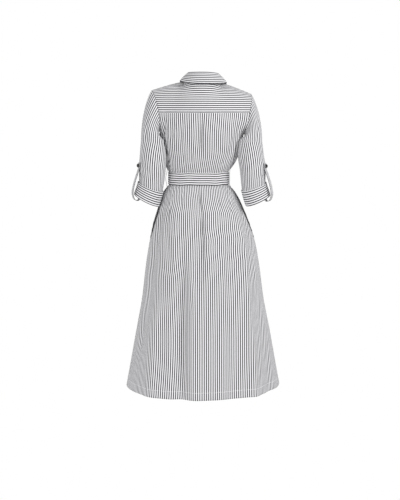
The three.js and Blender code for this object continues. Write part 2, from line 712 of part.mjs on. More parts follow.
// Where the roll tab starts, is buttoned and leaves the sleeve
const TAB_SHARES = { top: 0.41, button: 0.47, leaves: 0.52 };

const tabFoot = (side, share, out) => {
  const point = sleevePoint(side, TAB_PLACE, 1 + share);
  return point.addScaledVector(sleeveNormal(side, TAB_PLACE, 1 + TAB_SHARES.button), out);
};

function tabSolid(side, outwards) {
  const out = OVERLAY + TAB_CLOTH;
  const foldPoint = sleevePoint(side, TAB_PLACE, 2);
  const hanging = TAB_PATH.map(({ out: off, up }) =>
    foldPoint.clone().addScaledVector(outwards, off).add(vector(0, 0, up)));
  const held = Object.values(TAB_SHARES).map((share) => tabFoot(side, share, out));
  const curve = new THREE.CatmullRomCurve3([...held, ...hanging], false, "centripetal");
  const widthways = vector(0, 0, 1).cross(outwards).normalize();
  const points = curve.getPoints(26);
  const lines = points.map((point, i) => {
    const before = points[Math.max(i - 1, 0)];
    const after = points[Math.min(i + 1, points.length - 1)];
    return after.clone().sub(before).cross(widthways).normalize();
  });
  const places = [-TAB_WIDTH / 2, TAB_WIDTH / 2];
  const grid = points.map((point) =>
    places.map((place) => point.clone().addScaledVector(widthways, place)));
  const sign = Math.sign(lines[0].dot(outwards));
  const normals = lines.map((line) => places.map(() => line.clone().multiplyScalar(sign)));
  return wall(grid, normals, TAB_CLOTH);
}

for (const { word, side } of SIDES) {
  add("sleeve_" + word, sleeveWall(side), cloth);
  add("cuff_" + word, cuffSolid(side), cloth);
  const normal = sleeveNormal(side, TAB_PLACE, 1 + TAB_SHARES.button);
  const outwards = normal.clone().setZ(0).normalize();
  add("tab_" + word, tabSolid(side, outwards), cloth);
  placeButton("tab_button_" + word, tabFoot(side, TAB_SHARES.button, 2 * OVERLAY + TAB_CLOTH),
    normal);
}

// Collar: a stand on the neckline and a leaf that falls over it. turn runs from the front over
// the wearer's right shoulder and the nape, and back to the front.
const COLLAR_CLOTH = 1.8;
const COLLAR_STEP = 15; // degrees between the collar's columns
const STAND_FRONT_TURN = 179.7; // degrees from the nape to the stand's front edge
const LEAF_FRONT_TURN = 168;

// The rings of the collar: sizes at the nape, the side of the neck and the front.
const STAND_TOP = { half: 57, back: 50, front: -54, nape: 25, side: 20, throat: -52 };
const LEAF_TOP = { half: 59.4, back: 52.4, front: -56.4, nape: 25.4, side: 20.4, throat: -52 };
const LEAF_EDGE = { half: 90, back: 72, front: -106, nape: -21, side: -11, throat: -122 };

function collarPoint(ring, degrees) {
  const angle = degToRad(degrees);
  const cosine = Math.cos(angle);
  const isBack = cosine > 0;
  const point = vector(ring.half * Math.sin(angle), 0, 0);
  const depth = isBack ? ring.back + 5 : ring.front + 5;
  point.y = -5 + depth * Math.abs(cosine);
  const level = isBack ? ring.nape : ring.throat;
  point.z = lerp(ring.side, level, Math.abs(cosine) ** (isBack ? 1 : 1.4));
  point.x += NECK_SWAY * (isBack ? 1 : 1 - 0.5 * Math.abs(cosine));
  point.z += SHOULDER_TILT * point.x * Math.abs(Math.sin(angle));
  return point;
}

// A place just above the neckline of the bodice
function necklinePoint(degrees) {
  const side = degrees < 0 ? -1 : 1;
  const isBack = Math.abs(degrees) < 90;
  const share = (isBack ? Math.abs(degrees) : 180 - Math.abs(degrees)) / 90;
  const point = bodicePoint(isBack ? BACK : FRONT, side * share * NECK_SHARE, 0);
  point.z += 2 * SEAM;
  return point;
}

// A wall between two rings of the collar, bulging outwards between them
function collarWall(topPoint, edgePoint, frontTurn, rows, bulge) {
  const steps = Math.floor(frontTurn / COLLAR_STEP);
  const between = range(2 * steps, -steps * COLLAR_STEP, steps * COLLAR_STEP);
  const turns = [-frontTurn, ...between, frontTurn];
  const columns = turns.length - 1;
  const grid = range(rows, 0, 1).map((down) => turns.map((turn) => {
    const point = topPoint(turn).lerp(edgePoint(turn), down);
    const away = vector(point.x, point.y + 5, 0).normalize();
    return point.addScaledVector(away, bulge * Math.sin(Math.PI * down));
  }));
  const normals = grid.map((line, i) => line.map((point, j) => {
    const next = line[Math.min(j + 1, columns)];
    const last = line[Math.max(j - 1, 0)];
    const lower = grid[Math.min(i + 1, rows)][j];
    const upper = grid[Math.max(i - 1, 0)][j];
    const normal = lower.clone().sub(upper).cross(next.clone().sub(last)).normalize();
    const away = vector(point.x, point.y + 5, 0);
    return normal.dot(away) < 0 ? normal.negate() : normal;
  }));
  return wall(grid, normals, COLLAR_CLOTH);
}

const ringOf = (sizes) => (turn) => collarPoint(sizes, turn);
add("collar_stand",
  collarWall(ringOf(STAND_TOP), necklinePoint, STAND_FRONT_TURN, 2, 0), cloth);
add("collar_leaf",
  collarWall(ringOf(LEAF_TOP), ringOf(LEAF_EDGE), LEAF_FRONT_TURN, 3, 2), cloth);

export default dress;
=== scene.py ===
"""The shirt dress as it is seen in the photo: striped cotton with its folds, seams and stitches."""
import math

import bmesh
import bpy
import numpy as np
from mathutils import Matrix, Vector


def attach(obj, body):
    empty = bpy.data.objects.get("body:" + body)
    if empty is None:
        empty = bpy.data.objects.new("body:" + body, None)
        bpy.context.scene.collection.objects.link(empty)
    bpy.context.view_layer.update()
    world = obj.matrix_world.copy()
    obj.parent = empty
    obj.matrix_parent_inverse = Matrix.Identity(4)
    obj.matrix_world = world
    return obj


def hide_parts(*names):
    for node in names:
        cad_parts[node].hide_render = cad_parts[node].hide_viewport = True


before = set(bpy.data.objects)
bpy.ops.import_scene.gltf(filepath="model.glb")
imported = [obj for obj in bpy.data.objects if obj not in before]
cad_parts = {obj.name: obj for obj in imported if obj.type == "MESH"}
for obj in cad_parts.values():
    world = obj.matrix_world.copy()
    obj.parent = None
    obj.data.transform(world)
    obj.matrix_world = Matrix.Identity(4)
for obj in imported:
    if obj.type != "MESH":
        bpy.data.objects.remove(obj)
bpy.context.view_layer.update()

MM = 0.001
BACK, FRONT = 1, -1
LEFT, RIGHT = 1, -1
SIDES = ((LEFT, "left"), (RIGHT, "right"))

# Camera of the photo, in metres and degrees
CAMERA_AT = (0.0058, 5.0, -0.081)
CAMERA_TILT = 83.4
CAMERA_LENS = 93.5

# The dress in millimetres, on the same forms as the CAD solids
CLOTH = 1.2
UNDERARM_Z, WAIST_Z, HEM_Z = -215, -382, -1182
HEM_DROP_LEFT, HEM_DIP_BACK = 3.5, 18
YOKE_SEAM_Z = -131
ROUNDNESS = 2.3
NECK_HALF, SHOULDER_HALF = 68, 190
SHOULDER_TILT, NECK_SWAY, NECK_SHARE = 0.037, -7, 0.36
PLACKET_WIDTH = 32
BELT_TOP_Z, BELT_BOTTOM_Z = -357, -404
BELT_CLOTH = 1.8
BELT_START_ANGLE, BELT_LAP_ANGLE = 250, 52
TAB_WIDTH, TAB_PLACE = 25, 0.085
TAB_SHARES = (0.41, 0.47, 0.52)
TAB_BUTTON_TURN = 0.9
BUTTON_WIDTH, BUTTON_HEIGHT = 15, 2.6
BUTTON_HEIGHTS = (-138, -196, -254, -312, -450, -540, -630, -720, -810, -900, -990)

# z, half width, back depth, front depth, sway
RINGS = np.array([
    (-215, 163, 98, 112, 2), (-262, 155, 94, 132, 3), (-312, 140, 86, 122, 6),
    (-335, 129, 81, 110, 9), (-348, 120, 76, 103, 11), (-355, 114.6, 72, 99, 11),
    (-382, 114.6, 72, 99, 11), (-406, 114.6, 72, 99, 11), (-414, 122, 79, 105, 10),
    (-432, 137, 90, 113, 9), (-458, 151, 101, 122, 7), (-504, 168, 118, 134, 3),
    (-550, 185, 132, 145, 1), (-620, 203, 149, 157, -3), (-712, 219, 165, 169, -4),
    (-851, 237, 185, 184, -5), (-966, 259, 203, 198, -6), (-1082, 280, 220, 211, -6),
    (-1190, 300, 236, 226, -6)], float)

# Soft folds down a panel: top z, bottom z, place across at the top and at the bottom, width, depth
FOLDS = {
    BACK: [
        (-131, -345, 0.01, 0.02, 0.045, -7), (-215, -345, 0.12, 0.16, 0.05, -4),
        (-140, -350, -0.66, -0.42, 0.07, -6), (-135, -350, 0.72, 0.62, 0.08, -9),
        (-420, -860, 0, 0.05, 0.035, -10), (-480, -900, -0.06, -0.04, 0.05, 6),
        (-640, -1330, 0.2, 0.14, 0.06, -17), (-700, -1330, 0.07, 0.04, 0.06, 8),
        (-420, -1100, 0.64, 0.72, 0.09, -13), (-780, -1330, 0.5, 0.4, 0.09, 11),
        (-520, -1330, -0.53, -0.4, 0.05, 12), (-520, -1330, -0.32, -0.2, 0.1, -11),
        (-420, -760, -0.74, -0.72, 0.07, -8), (-760, -1330, -0.68, -0.62, 0.08, -9)],
    FRONT: [
        (-170, -345, 0.55, 0.34, 0.08, -6), (-180, -345, -0.5, -0.36, 0.08, -6),
        (-425, -900, 0.3, 0.4, 0.06, -9), (-425, -840, -0.34, -0.42, 0.06, -9),
        (-600, -1330, 0.5, 0.56, 0.09, 11), (-640, -1330, -0.52, -0.6, 0.09, 12),
        (-660, -1330, 0.28, 0.3, 0.08, -13), (-620, -1330, -0.3, -0.34, 0.08, -14)],
}
FOLD_FADE = 150

# Creases read off the photo, or made up in kind where it shows nothing, to about 5 mm:
# mm to the wearer's left and height at the top, the same at the bottom, then width and depth
CREASES = {
    BACK: [
        (0, -135, 5, -290, 3.5, -8), (-35, -145, -35, -250, 6, 2), (35, -145, 30, -250, 6, 2),
        (75, -140, 75, -270, 4, -2.5), (100, -145, 95, -270, 5, 2), (45, -265, 35, -330, 4, -3),
        (155, -150, 115, -330, 6, -5), (140, -150, 100, -280, 8, 2.5),
        (-140, -225, -110, -325, 5, -5), (-125, -160, -85, -290, 8, 2.5),
        (-155, -160, -135, -230, 7, -2.5), (-95, -300, -65, -335, 5, -3),
        (-65, -150, -60, -300, 6, -1.5), (-25, -290, -25, -345, 4, 2.5),
        (-150, -215, -105, -352, 2.5, -3), (150, -215, 110, -352, 2.5, -3),
        (70, -285, 60, -345, 4, -2.5), (10, -300, 5, -345, 4, -2.5),
        (-55, -280, -50, -345, 4, -2),
        (10, -420, 0, -510, 3.5, -7), (0, -505, -5, -605, 3.5, -7),
        (-5, -600, -5, -690, 3.5, -6), (-5, -685, 5, -770, 4, -3),
        (20, -430, 15, -600, 5, 2), (-20, -430, -20, -600, 5, 2),
        (65, -420, 85, -510, 5, -3), (105, -425, 130, -540, 5, -2.5),
        (-60, -420, -75, -520, 5, -3), (-95, -425, -115, -540, 5, -2.5),
        (125, -450, 120, -690, 12, -3.5), (70, -490, 70, -850, 14, -3),
        (95, -480, 100, -800, 8, 2.5), (-60, -480, -85, -850, 12, 3),
        (-150, -490, -165, -840, 14, -3.5), (-195, -660, -210, -820, 9, 3),
        (75, -810, 70, -1180, 12, -5), (120, -840, 120, -1170, 10, 3),
        (150, -860, 165, -1160, 9, -2.5), (190, -900, 210, -1160, 9, 2.5),
        (220, -850, 250, -1150, 12, -3), (40, -830, 35, -870, 5, -2.5),
        (45, -900, 40, -1160, 8, 2.5), (-20, -775, -30, -980, 8, 3),
        (-30, -975, -35, -1165, 8, 2.5), (-55, -820, -60, -1150, 8, -2.5),
        (-90, -850, -95, -1170, 12, 3), (-165, -850, -170, -1180, 12, -4),
        (-215, -850, -225, -1170, 10, 3), (-245, -900, -260, -1150, 9, -2.5),
    ],
    FRONT: [
        (125, -225, 70, -330, 9, -3), (-120, -220, -70, -330, 9, -3),
        (110, -180, 85, -290, 9, -2), (-110, -190, -85, -300, 9, -2),
        (35, -260, 40, -350, 7, -2), (-40, -250, -40, -350, 7, -2),
        (60, -290, 50, -350, 6, -2), (-65, -285, -55, -350, 6, -2),
        (50, -420, 55, -560, 5, -3), (-55, -420, -60, -580, 5, -3),
        (85, -420, 105, -600, 6, -3), (-85, -420, -100, -590, 6, -3),
        (135, -470, 180, -760, 8, -3), (-135, -480, -185, -770, 8, -3),
        (60, -700, 75, -1120, 9, -3), (-60, -680, -80, -1130, 9, -3),
        (125, -760, 165, -1160, 6, 3.5), (-130, -740, -170, -1160, 6, 3.5),
        (190, -820, 235, -1150, 8, -3), (-195, -830, -240, -1150, 8, -3),
    ],
}

# Gathers where the cloth is drawn in at the belt: place across, width and depth in mm, length
GATHERS = [
    (-0.93, 6, 2.6, 70), (-0.86, 5, 2.2, 95), (-0.78, 7, 3.0, 60), (-0.71, 5, 2.4, 110),
    (-0.63, 6, 2.8, 80), (-0.56, 5, 2.2, 55), (-0.49, 6, 3.0, 120), (-0.41, 5, 2.4, 70),
    (-0.34, 6, 2.6, 90), (-0.27, 5, 2.2, 60), (-0.19, 6, 2.8, 105), (-0.12, 5, 2.2, 65),
    (-0.05, 5, 2.4, 80), (0.06, 6, 2.8, 70), (0.13, 5, 2.4, 115), (0.21, 6, 2.6, 65),
    (0.28, 5, 2.2, 85), (0.36, 6, 3.0, 60), (0.43, 5, 2.4, 100), (0.51, 6, 2.8, 75),
    (0.58, 5, 2.2, 60), (0.66, 6, 3.0, 95), (0.73, 5, 2.4, 70), (0.81, 7, 2.8, 85),
    (0.89, 5, 2.2, 60), (0.95, 5, 2.4, 75)]

# Sleeve rings: share, x, y, z, half, depth, turn, tilt, pitch
SLEEVE_RINGS = {
    LEFT: np.array([
        (0, 183, 34, -238, 48, 50, 0.1, 4, 0), (0.25, 184, 44, -293, 52, 46, 0.3, 5, 0),
        (0.5, 188, 46, -344, 52, 46, 0.3, 10, 3), (0.76, 194, 43, -410, 49, 46, 0.1, 22, 8),
        (1, 209, 38, -463, 51, 48, 0.05, 26, 9)], float),
    RIGHT: np.array([
        (0, 184, 34, -238, 47, 50, 0.1, 2, 0), (0.25, 188, 40, -293, 50, 46, 0.25, 4, 0),
        (0.5, 196, 43, -344, 50, 46, 0.2, 8, 3), (0.76, 200, 41, -410, 47.5, 46, 0.1, 19, 8),
        (1, 216, 36, -464, 49, 48, 0.05, 24, 9)], float),
}
CUFF_TOP_SHARE = 0.76
SLEEVE_CLEAR, CUFF_CLEAR = 4, 6
SLEEVE_END_ALONG = 0.863
# Creases of the sleeves: from round and row to round and row, width and depth in mm
SLEEVE_CREASES = {
    LEFT: [
        (0.12, 0.35, 0.2, 1.1, 6, -2.5), (0.22, 0.3, 0.3, 1.0, 7, -2.2),
        (0.02, 1.6, 0.2, 1.63, 4, -5), (0.1, 1.35, 0.3, 1.6, 7, -2),
        (0.3, 1.1, 0.45, 1.55, 8, -2.5), (0.85, 0.4, 0.7, 1.1, 7, -2),
        (0.8, 1.3, 0.6, 1.6, 7, -2.5), (0.16, 0.6, 0.1, 1.25, 6, 1.6),
    ],
    RIGHT: [
        (0.1, 0.4, 0.22, 1.15, 6, -2.4), (0.24, 0.25, 0.3, 0.95, 7, -2),
        (0.05, 1.6, 0.25, 1.64, 5, -2.6), (0.12, 1.3, 0.32, 1.55, 7, -2.2),
        (0.32, 1.05, 0.45, 1.5, 8, -2.5), (0.88, 0.4, 0.72, 1.1, 7, -2),
        (0.8, 1.25, 0.62, 1.6, 7, -2.5), (0.15, 0.7, 0.08, 1.3, 6, 1.5),
    ],
}

# Rings of the collar: half, back, front, nape, side, throat
STAND_TOP = (57, 50, -54, 25, 20, -52)
LEAF_TOP = (59.4, 52.4, -56.4, 25.4, 20.4, -52)
LEAF_EDGE = (90, 72, -106, -21, -11, -122)

# The tab below its button, from the cuff's fold: out and up
TAB_PATH = ((4, 62), (12, 32), (14.5, 10), (9, -9), (0, -16), (-10, -14), (-13, -2), (-15, 12))


# The forms
def smooth(x):
    x = np.clip(x, 0, 1)
    return x * x * (3 - 2 * x)


def mix(a, b, share):
    return a + (b - a) * share


def unit(v):
    return v / np.maximum(np.linalg.norm(v, axis=-1, keepdims=True), 1e-9)


def points(x, y, z):
    return np.stack(np.broadcast_arrays(x, y, z), axis=-1).astype(float)


def read_table(table, at):
    """A smooth curve through the rows of a table, read where its first column has the value at."""
    keys = table[:, 0]
    way = np.sign(keys[1] - keys[0])
    at = np.asarray(at, float)
    i = np.clip(np.searchsorted(way * keys, way * at) - 1, 0, len(keys) - 2)
    a, b = table[i], table[i + 1]
    before, after = table[np.maximum(i - 1, 0)], table[np.minimum(i + 2, len(keys) - 1)]
    span = (b - a)[..., :1]
    f = np.clip((at[..., None] - a[..., :1]) / span, 0, 1)
    slope_a = (b - before) / (b - before)[..., :1] * span
    slope_b = (after - a) / (after - a)[..., :1] * span
    rise = b - a
    row = a + f * (slope_a + f * (3 * rise - 2 * slope_a - slope_b
                                  + f * (slope_a + slope_b - 2 * rise)))
    return np.moveaxis(row[..., 1:], -1, 0)


def near_line(u, v, start, end, width):
    """1 on the line from start to end, less beside it and towards its ends."""
    du, dv = end[0] - start[0], end[1] - start[1]
    t = np.clip(((u - start[0]) * du + (v - start[1]) * dv) / (du * du + dv * dv), 0, 1)
    off = (u - start[0] - t * du) ** 2 + (v - start[1] - t * dv) ** 2
    return np.exp(-off / width ** 2) * np.sin(np.pi * np.clip(t, 0.02, 0.98)) ** 0.7


def share_across(x, z):
    """The share across a panel of a place x mm from the middle, by the dress's half width."""
    half, _, _, sway = read_table(RINGS, min(z, UNDERARM_Z))
    off = float(np.clip((x - sway) / half, -0.97, 0.97))
    return math.copysign(2 / math.pi * math.asin(abs(off) ** (ROUNDNESS / 2)), off)


# About how many mm the share across stands for, where a crease's width is measured
CREASE_SPREAD_UPPER, CREASE_SPREAD_SKIRT = 215, 340


def fold_depth(face, across, z):
    depth = np.zeros(np.broadcast(across, z).shape)
    for top, bottom, at, end, width, deep in FOLDS[face]:
        down = np.clip((top - z) / (top - bottom), 0, 1)
        near = np.exp(-((across - mix(at, end, down)) / width) ** 2)
        depth += deep * near * smooth((top - z) / FOLD_FADE) * smooth((z - bottom) / FOLD_FADE)
    for at, z_at, to, z_to, width, deep in CREASES[face]:
        spread = CREASE_SPREAD_UPPER if z_at > WAIST_Z else CREASE_SPREAD_SKIRT
        start, end = share_across(at, z_at), share_across(to, z_to)
        depth += deep * near_line(across * spread, z, (start * spread, z_at),
                                  (end * spread, z_to), width)
    return depth * (1 - across ** 8)


def gather_depth(face, across, z):
    depth = np.zeros(np.broadcast(across, z).shape)
    below = BELT_BOTTOM_Z + 4 - z
    above = z - BELT_TOP_Z + 4
    for number, (at, width, deep, length) in enumerate(GATHERS):
        place = at * face + 0.013 * math.sin(5 * number)
        spread = mix(165, 260, smooth(below / 120))
        line = np.exp(-((across - place * (1 + 0.06 * smooth(below / length))) * spread
                        / (width * (1 + 0.8 * smooth(below / length)))) ** 2)
        under = smooth(below / 14) * (1 - smooth(below / length))
        over = 0.6 * smooth(above / 10) * (1 - smooth(above / (0.45 * length)))
        depth += deep * line * (under + over)
    return depth * (1 - across ** 8)


def plain_ring(face, across, z):
    half, back, front, sway = read_table(RINGS, z)
    angle = math.pi / 2 * across
    depth = back if face == BACK else front
    x = np.sign(across) * half * np.abs(np.sin(angle)) ** (2 / ROUNDNESS)
    y = face * depth * np.abs(np.cos(angle)) ** (2 / ROUNDNESS)
    away = unit(points(x / half ** 2, y / depth ** 2, 0 * x))
    return points(x + sway, y, z), away


def ring_point(face, across, z, out=0):
    point, away = plain_ring(face, across, z)
    lift = fold_depth(face, across, z) + gather_depth(face, across, z) + out
    return point + away * np.asarray(lift)[..., None]


def top_edge(face, share):
    """The neckline and shoulder seam of a half, from the centre, 0, to the sleeve, 1."""
    cosine = np.cos(math.pi / 2 * np.clip(share / NECK_SHARE, 0, 1))
    sine = np.sin(math.pi / 2 * np.clip(share / NECK_SHARE, 0, 1))
    if face == BACK:
        neck = points(NECK_HALF * sine, -5 + 63 * cosine, -14 + 4 * cosine)
    else:
        neck = points(NECK_HALF * sine, -5 - 57 * cosine, -14 - 74 * cosine ** 1.4)
    f = np.clip((share - NECK_SHARE) / (1 - NECK_SHARE), 0, 1)
    shoulder = points(mix(NECK_HALF, SHOULDER_HALF, f), -5 + 5 * f, -14 - 38 * f ** 1.25)
    return np.where((share < NECK_SHARE)[..., None], neck, shoulder)


def eased_top_edge(face, share, width):
    steps = (-1, -0.66, -0.33, 0, 0.33, 0.66, 1)
    eased = 0
    for step in steps:
        place = np.minimum(share + step * width, 1)
        point = top_edge(face, np.abs(place))
        point[..., 0] *= np.where(place < 0, -1, 1)
        eased = eased + point / len(steps)
    return eased


# How far outwards the armholes are set, high up and above the underarm
ARMHOLE_OUT = {LEFT: (-8, -18), RIGHT: (24, 6)}
ARMHOLE_GAP = 0.8
HIGH = {BACK: ((0, 88, -62), (110, 66, -46), (172, 60, -80)),
        FRONT: ((0, -86, -112), (95, -74, -72), (165, -50, -86))}


def upper_point(face, across, down):
    """The body above the underarm: from the neckline or shoulder, 0, to the ring, 1."""
    share = np.abs(across)
    side = np.where(across < 0, -1, 1)
    top = eased_top_edge(face, share, 0.3 * smooth(down / 0.4) * (1 - share))
    t = share[..., None]
    a, b, c = (np.array(p, float) for p in HIGH[face])
    high = (a * (t - 0.55) * (t - 1) / 0.55 + b * t * (t - 1) / (0.55 * -0.45)
            + c * t * (t - 0.55) / 0.45)
    level = np.full(share.shape, float(UNDERARM_Z))
    ring, away = plain_ring(face, share, level)
    inwards = unit(plain_ring(face, share - 0.01, level)[0] - ring)
    low = ring + inwards * ((75 if face == BACK else 65) * t ** 2)
    low[..., 2] += mix(65, 10, share ** 2)
    out = np.where((across < 0)[..., None], ARMHOLE_OUT[RIGHT], ARMHOLE_OUT[LEFT])
    high[..., 0] += out[..., 0] * share ** 6
    low[..., 0] += out[..., 1] * share ** 6
    low[..., 1] += (-6 if face == FRONT else 3) * (1 - share)
    up = (1 - down)[..., None]
    d = down[..., None]
    point = top * up ** 3 + high * 3 * up ** 2 * d + low * 3 * up * d ** 2 + ring * d ** 3
    sway = read_table(RINGS, float(UNDERARM_Z))[3]
    shift = sway * (3 * (1 - down) * down ** 2 + down ** 3)
    point[..., 0] = side * (point[..., 0] - shift) + shift
    point[..., 0] += NECK_SWAY * (1 - down) ** 3 * (1 - share)
    point[..., 2] += SHOULDER_TILT * point[..., 0] * (1 - down)
    away[..., 0] *= side
    outward = unit(away * d ** 3 + np.array((0, face, 0)) * (1 - d ** 3))
    return point + outward * fold_depth(face, across, point[..., 2])[..., None]


def bodice_point(face, across, row):
    """Row 0 is the neckline or shoulder, 1 the underarm and 2 the waist."""
    across, row = np.broadcast_arrays(np.asarray(across, float), np.asarray(row, float))
    upper = upper_point(face, across, np.clip(row, 0, 1))
    lower = ring_point(face, across, mix(UNDERARM_Z, WAIST_Z, np.clip(row - 1, 0, 1)))
    return np.where((row < 1)[..., None], upper, lower)


def hem_z(face, across):
    dip = HEM_DIP_BACK * (1 - across ** 2) ** 2 if face == BACK else 0
    return HEM_Z - HEM_DROP_LEFT * across - dip


def skirt_point(face, across, row):
    """Row 0 is the waist and 1 the hem."""
    across, row = np.broadcast_arrays(np.asarray(across, float), np.asarray(row, float))
    return ring_point(face, across, mix(WAIST_Z, hem_z(face, across), row))


def yoke_row(across):
    low, high = np.zeros(across.shape), np.ones(across.shape)
    for _ in range(24):
        middle = (low + high) / 2
        above = bodice_point(BACK, across, middle)[..., 2] > YOKE_SEAM_Z
        low, high = np.where(above, middle, low), np.where(above, high, middle)
    return low


def lifted(place, u, v, out, outside):
    """The points of a surface moved out along its normals, to the side of outside."""
    h = 2e-3
    along = place(u + h, v) - place(u - h, v)
    down = place(u, v + h) - place(u, np.maximum(v - h, 0))
    normal = unit(np.cross(along, down))
    point = place(u, v)
    normal *= np.sign(np.sum(normal * (point - outside), axis=-1, keepdims=True))
    return point + normal * np.asarray(out)[..., None]


def armhole_point(side, round_):
    row = np.where(round_ <= 0.5, 2 * round_, 2 - 2 * round_)
    across = np.full(np.shape(row), float(side))
    point = np.where((round_ <= 0.5)[..., None], bodice_point(BACK, across, row),
                     bodice_point(FRONT, across, row))
    point[..., 0] += side * ARMHOLE_GAP
    return point


def clear_of_body(point, clear):
    """Moves points of a sleeve out of the body, to a clear distance from its ring."""
    x, y, z = np.moveaxis(point, -1, 0)
    half, back, front, sway = read_table(RINGS, np.minimum(z, UNDERARM_Z))
    depth = np.where(y > 0, back, front) + clear
    nearness = (np.abs(x - sway) / (half + clear)) ** ROUNDNESS + (np.abs(y) / depth) ** ROUNDNESS
    grow = np.where(nearness < 1, np.maximum(nearness, 1e-6) ** (-1 / ROUNDNESS), 1)
    grow = mix(1, grow, smooth((UNDERARM_Z + 20 - z) / 20))
    return points(sway + (x - sway) * grow, y * grow, z)


def sleeve_ring(side, round_, share):
    x, y, z, half, depth, turn, tilt, pitch = read_table(SLEEVE_RINGS[side], share)
    angle = 2 * math.pi * round_
    wide, deep = half * np.cos(angle), depth * np.sin(angle)
    across = wide * np.cos(turn) + deep * np.sin(turn)
    back = -wide * np.sin(turn) + deep * np.cos(turn)
    tilt = np.radians(tilt)
    height = z + across * np.sin(tilt) - back * np.sin(np.radians(pitch))
    clear = SLEEVE_CLEAR + CUFF_CLEAR * smooth((share - 0.45) / 0.3)
    return clear_of_body(points(side * (x + across * np.cos(tilt)), y + back, height), clear)


def sleeve_point(side, round_, row, creased=True):
    """Row 0 is the armhole, 1 the first whole ring and 2 the cuff's fold."""
    round_, row = np.broadcast_arrays(np.asarray(round_, float) % 1, np.asarray(row, float))
    start = armhole_point(side, round_)
    end = sleeve_ring(side, round_, np.zeros(round_.shape))
    angle = 2 * math.pi * round_
    cosine = np.cos(angle)
    leaving = points(side * (0.46 - 0.08 * cosine), 0.42 * np.sin(angle), 0.15 * cosine - 0.8)
    pull = 0.36 * np.linalg.norm(start - end, axis=-1, keepdims=True)
    t = np.clip(row, 0, 1)[..., None]
    first, second = start + leaving * pull, end + np.array((0, 0, 1)) * pull
    curve = (start * (1 - t) ** 3 + first * 3 * t * (1 - t) ** 2 + second * 3 * t * t * (1 - t)
             + end * t ** 3)
    curve = clear_of_body(curve, SLEEVE_CLEAR)
    point = np.where((row < 1)[..., None], curve,
                     sleeve_ring(side, round_, np.clip(row - 1, 0, 1)))
    if creased:
        middle = point.mean(axis=tuple(range(point.ndim - 1)))
        axis = points(np.full(row.shape, middle[0]), np.full(row.shape, 38.0), point[..., 2])
        away = unit(point - axis)
        depth = np.zeros(row.shape)
        for at, row_at, to, row_to, width, deep in SLEEVE_CREASES[side]:
            depth += deep * near_line(round_ * 300, row * 230, (at * 300, row_at * 230),
                                      (to * 300, row_to * 230), width)
        point = point + away * (depth * smooth(row / 0.15))[..., None]
    return point


def collar_point(ring, degrees):
    half, back, front, nape, side, throat = ring
    angle = np.radians(degrees)
    cosine = np.cos(angle)
    is_back = cosine > 0
    x = half * np.sin(angle)
    y = -5 + np.where(is_back, back + 5, front + 5) * np.abs(cosine)
    ease = np.abs(cosine) ** np.where(is_back, 1, 1.4)
    z = mix(side, np.where(is_back, nape, throat), ease)
    x = x + NECK_SWAY * np.where(is_back, 1, 1 - 0.5 * np.abs(cosine))
    return points(x, y, z + SHOULDER_TILT * x * np.abs(np.sin(angle)))


def neckline_point(degrees):
    share = np.where(np.abs(degrees) < 90, np.abs(degrees), 180 - np.abs(degrees)) / 90
    across = np.sign(degrees) * share * NECK_SHARE
    row = np.zeros(across.shape)
    point = np.where((np.abs(degrees) < 90)[..., None], bodice_point(BACK, across, row),
                     bodice_point(FRONT, across, row))
    point[..., 2] += 0.6
    return point


def waist_point(degrees, z, out):
    """A place round the waist, from the wearer's left over the back."""
    turn = degrees % 360
    is_back = turn <= 180
    across = np.where(is_back, 1 - turn / 90, (turn - 270) / 90)
    ring = []
    for face in (BACK, FRONT):
        point, away = plain_ring(face, across, np.full(across.shape, float(WAIST_Z)))
        ring.append(point + away * np.asarray(out)[..., None])
    point = np.where(is_back[..., None], ring[0], ring[1])
    point[..., 2] = z
    return point


# How a piece is made
def between(count, start=0.0, end=1.0):
    return np.linspace(start, end, count)


def grid_of(columns, rows, place):
    """The points of a surface on a grid, as rows of columns."""
    u, v = np.meshgrid(between(columns), between(rows))
    return place(u, v)


def flat_lengths(grid, middle, gathered=1.0):
    """Metres across and down the cloth for each point of a grid, from its middle column.

    gathered is how much wider the flat cloth is than the piece, for each row. The lengths across
    are level ones, as the stripes hang upright."""
    across = np.linalg.norm(np.diff(grid, axis=1)[..., :2], axis=-1)
    across = np.concatenate([np.zeros((len(grid), 1)), np.cumsum(across, axis=1)], axis=1)
    across = (across - across[:, middle:middle + 1]) * np.reshape(gathered, (-1, 1))
    down = np.linalg.norm(np.diff(grid, axis=0), axis=-1).mean(axis=1)
    down = np.concatenate([[0], np.cumsum(down)])[:, None] + 0 * across
    return np.stack([across, down], axis=-1) * MM


def finish_piece(name, bm, material, nodes, smooth_faces=True):
    mesh = bpy.data.meshes.new(name)
    bm.to_mesh(mesh)
    bm.free()
    for polygon in mesh.polygons:
        polygon.use_smooth = smooth_faces
    mesh.materials.append(material)
    piece = bpy.data.objects.new(name, mesh)
    bpy.context.scene.collection.objects.link(piece)
    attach(piece, "root")
    if nodes:
        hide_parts(*nodes)
    return piece


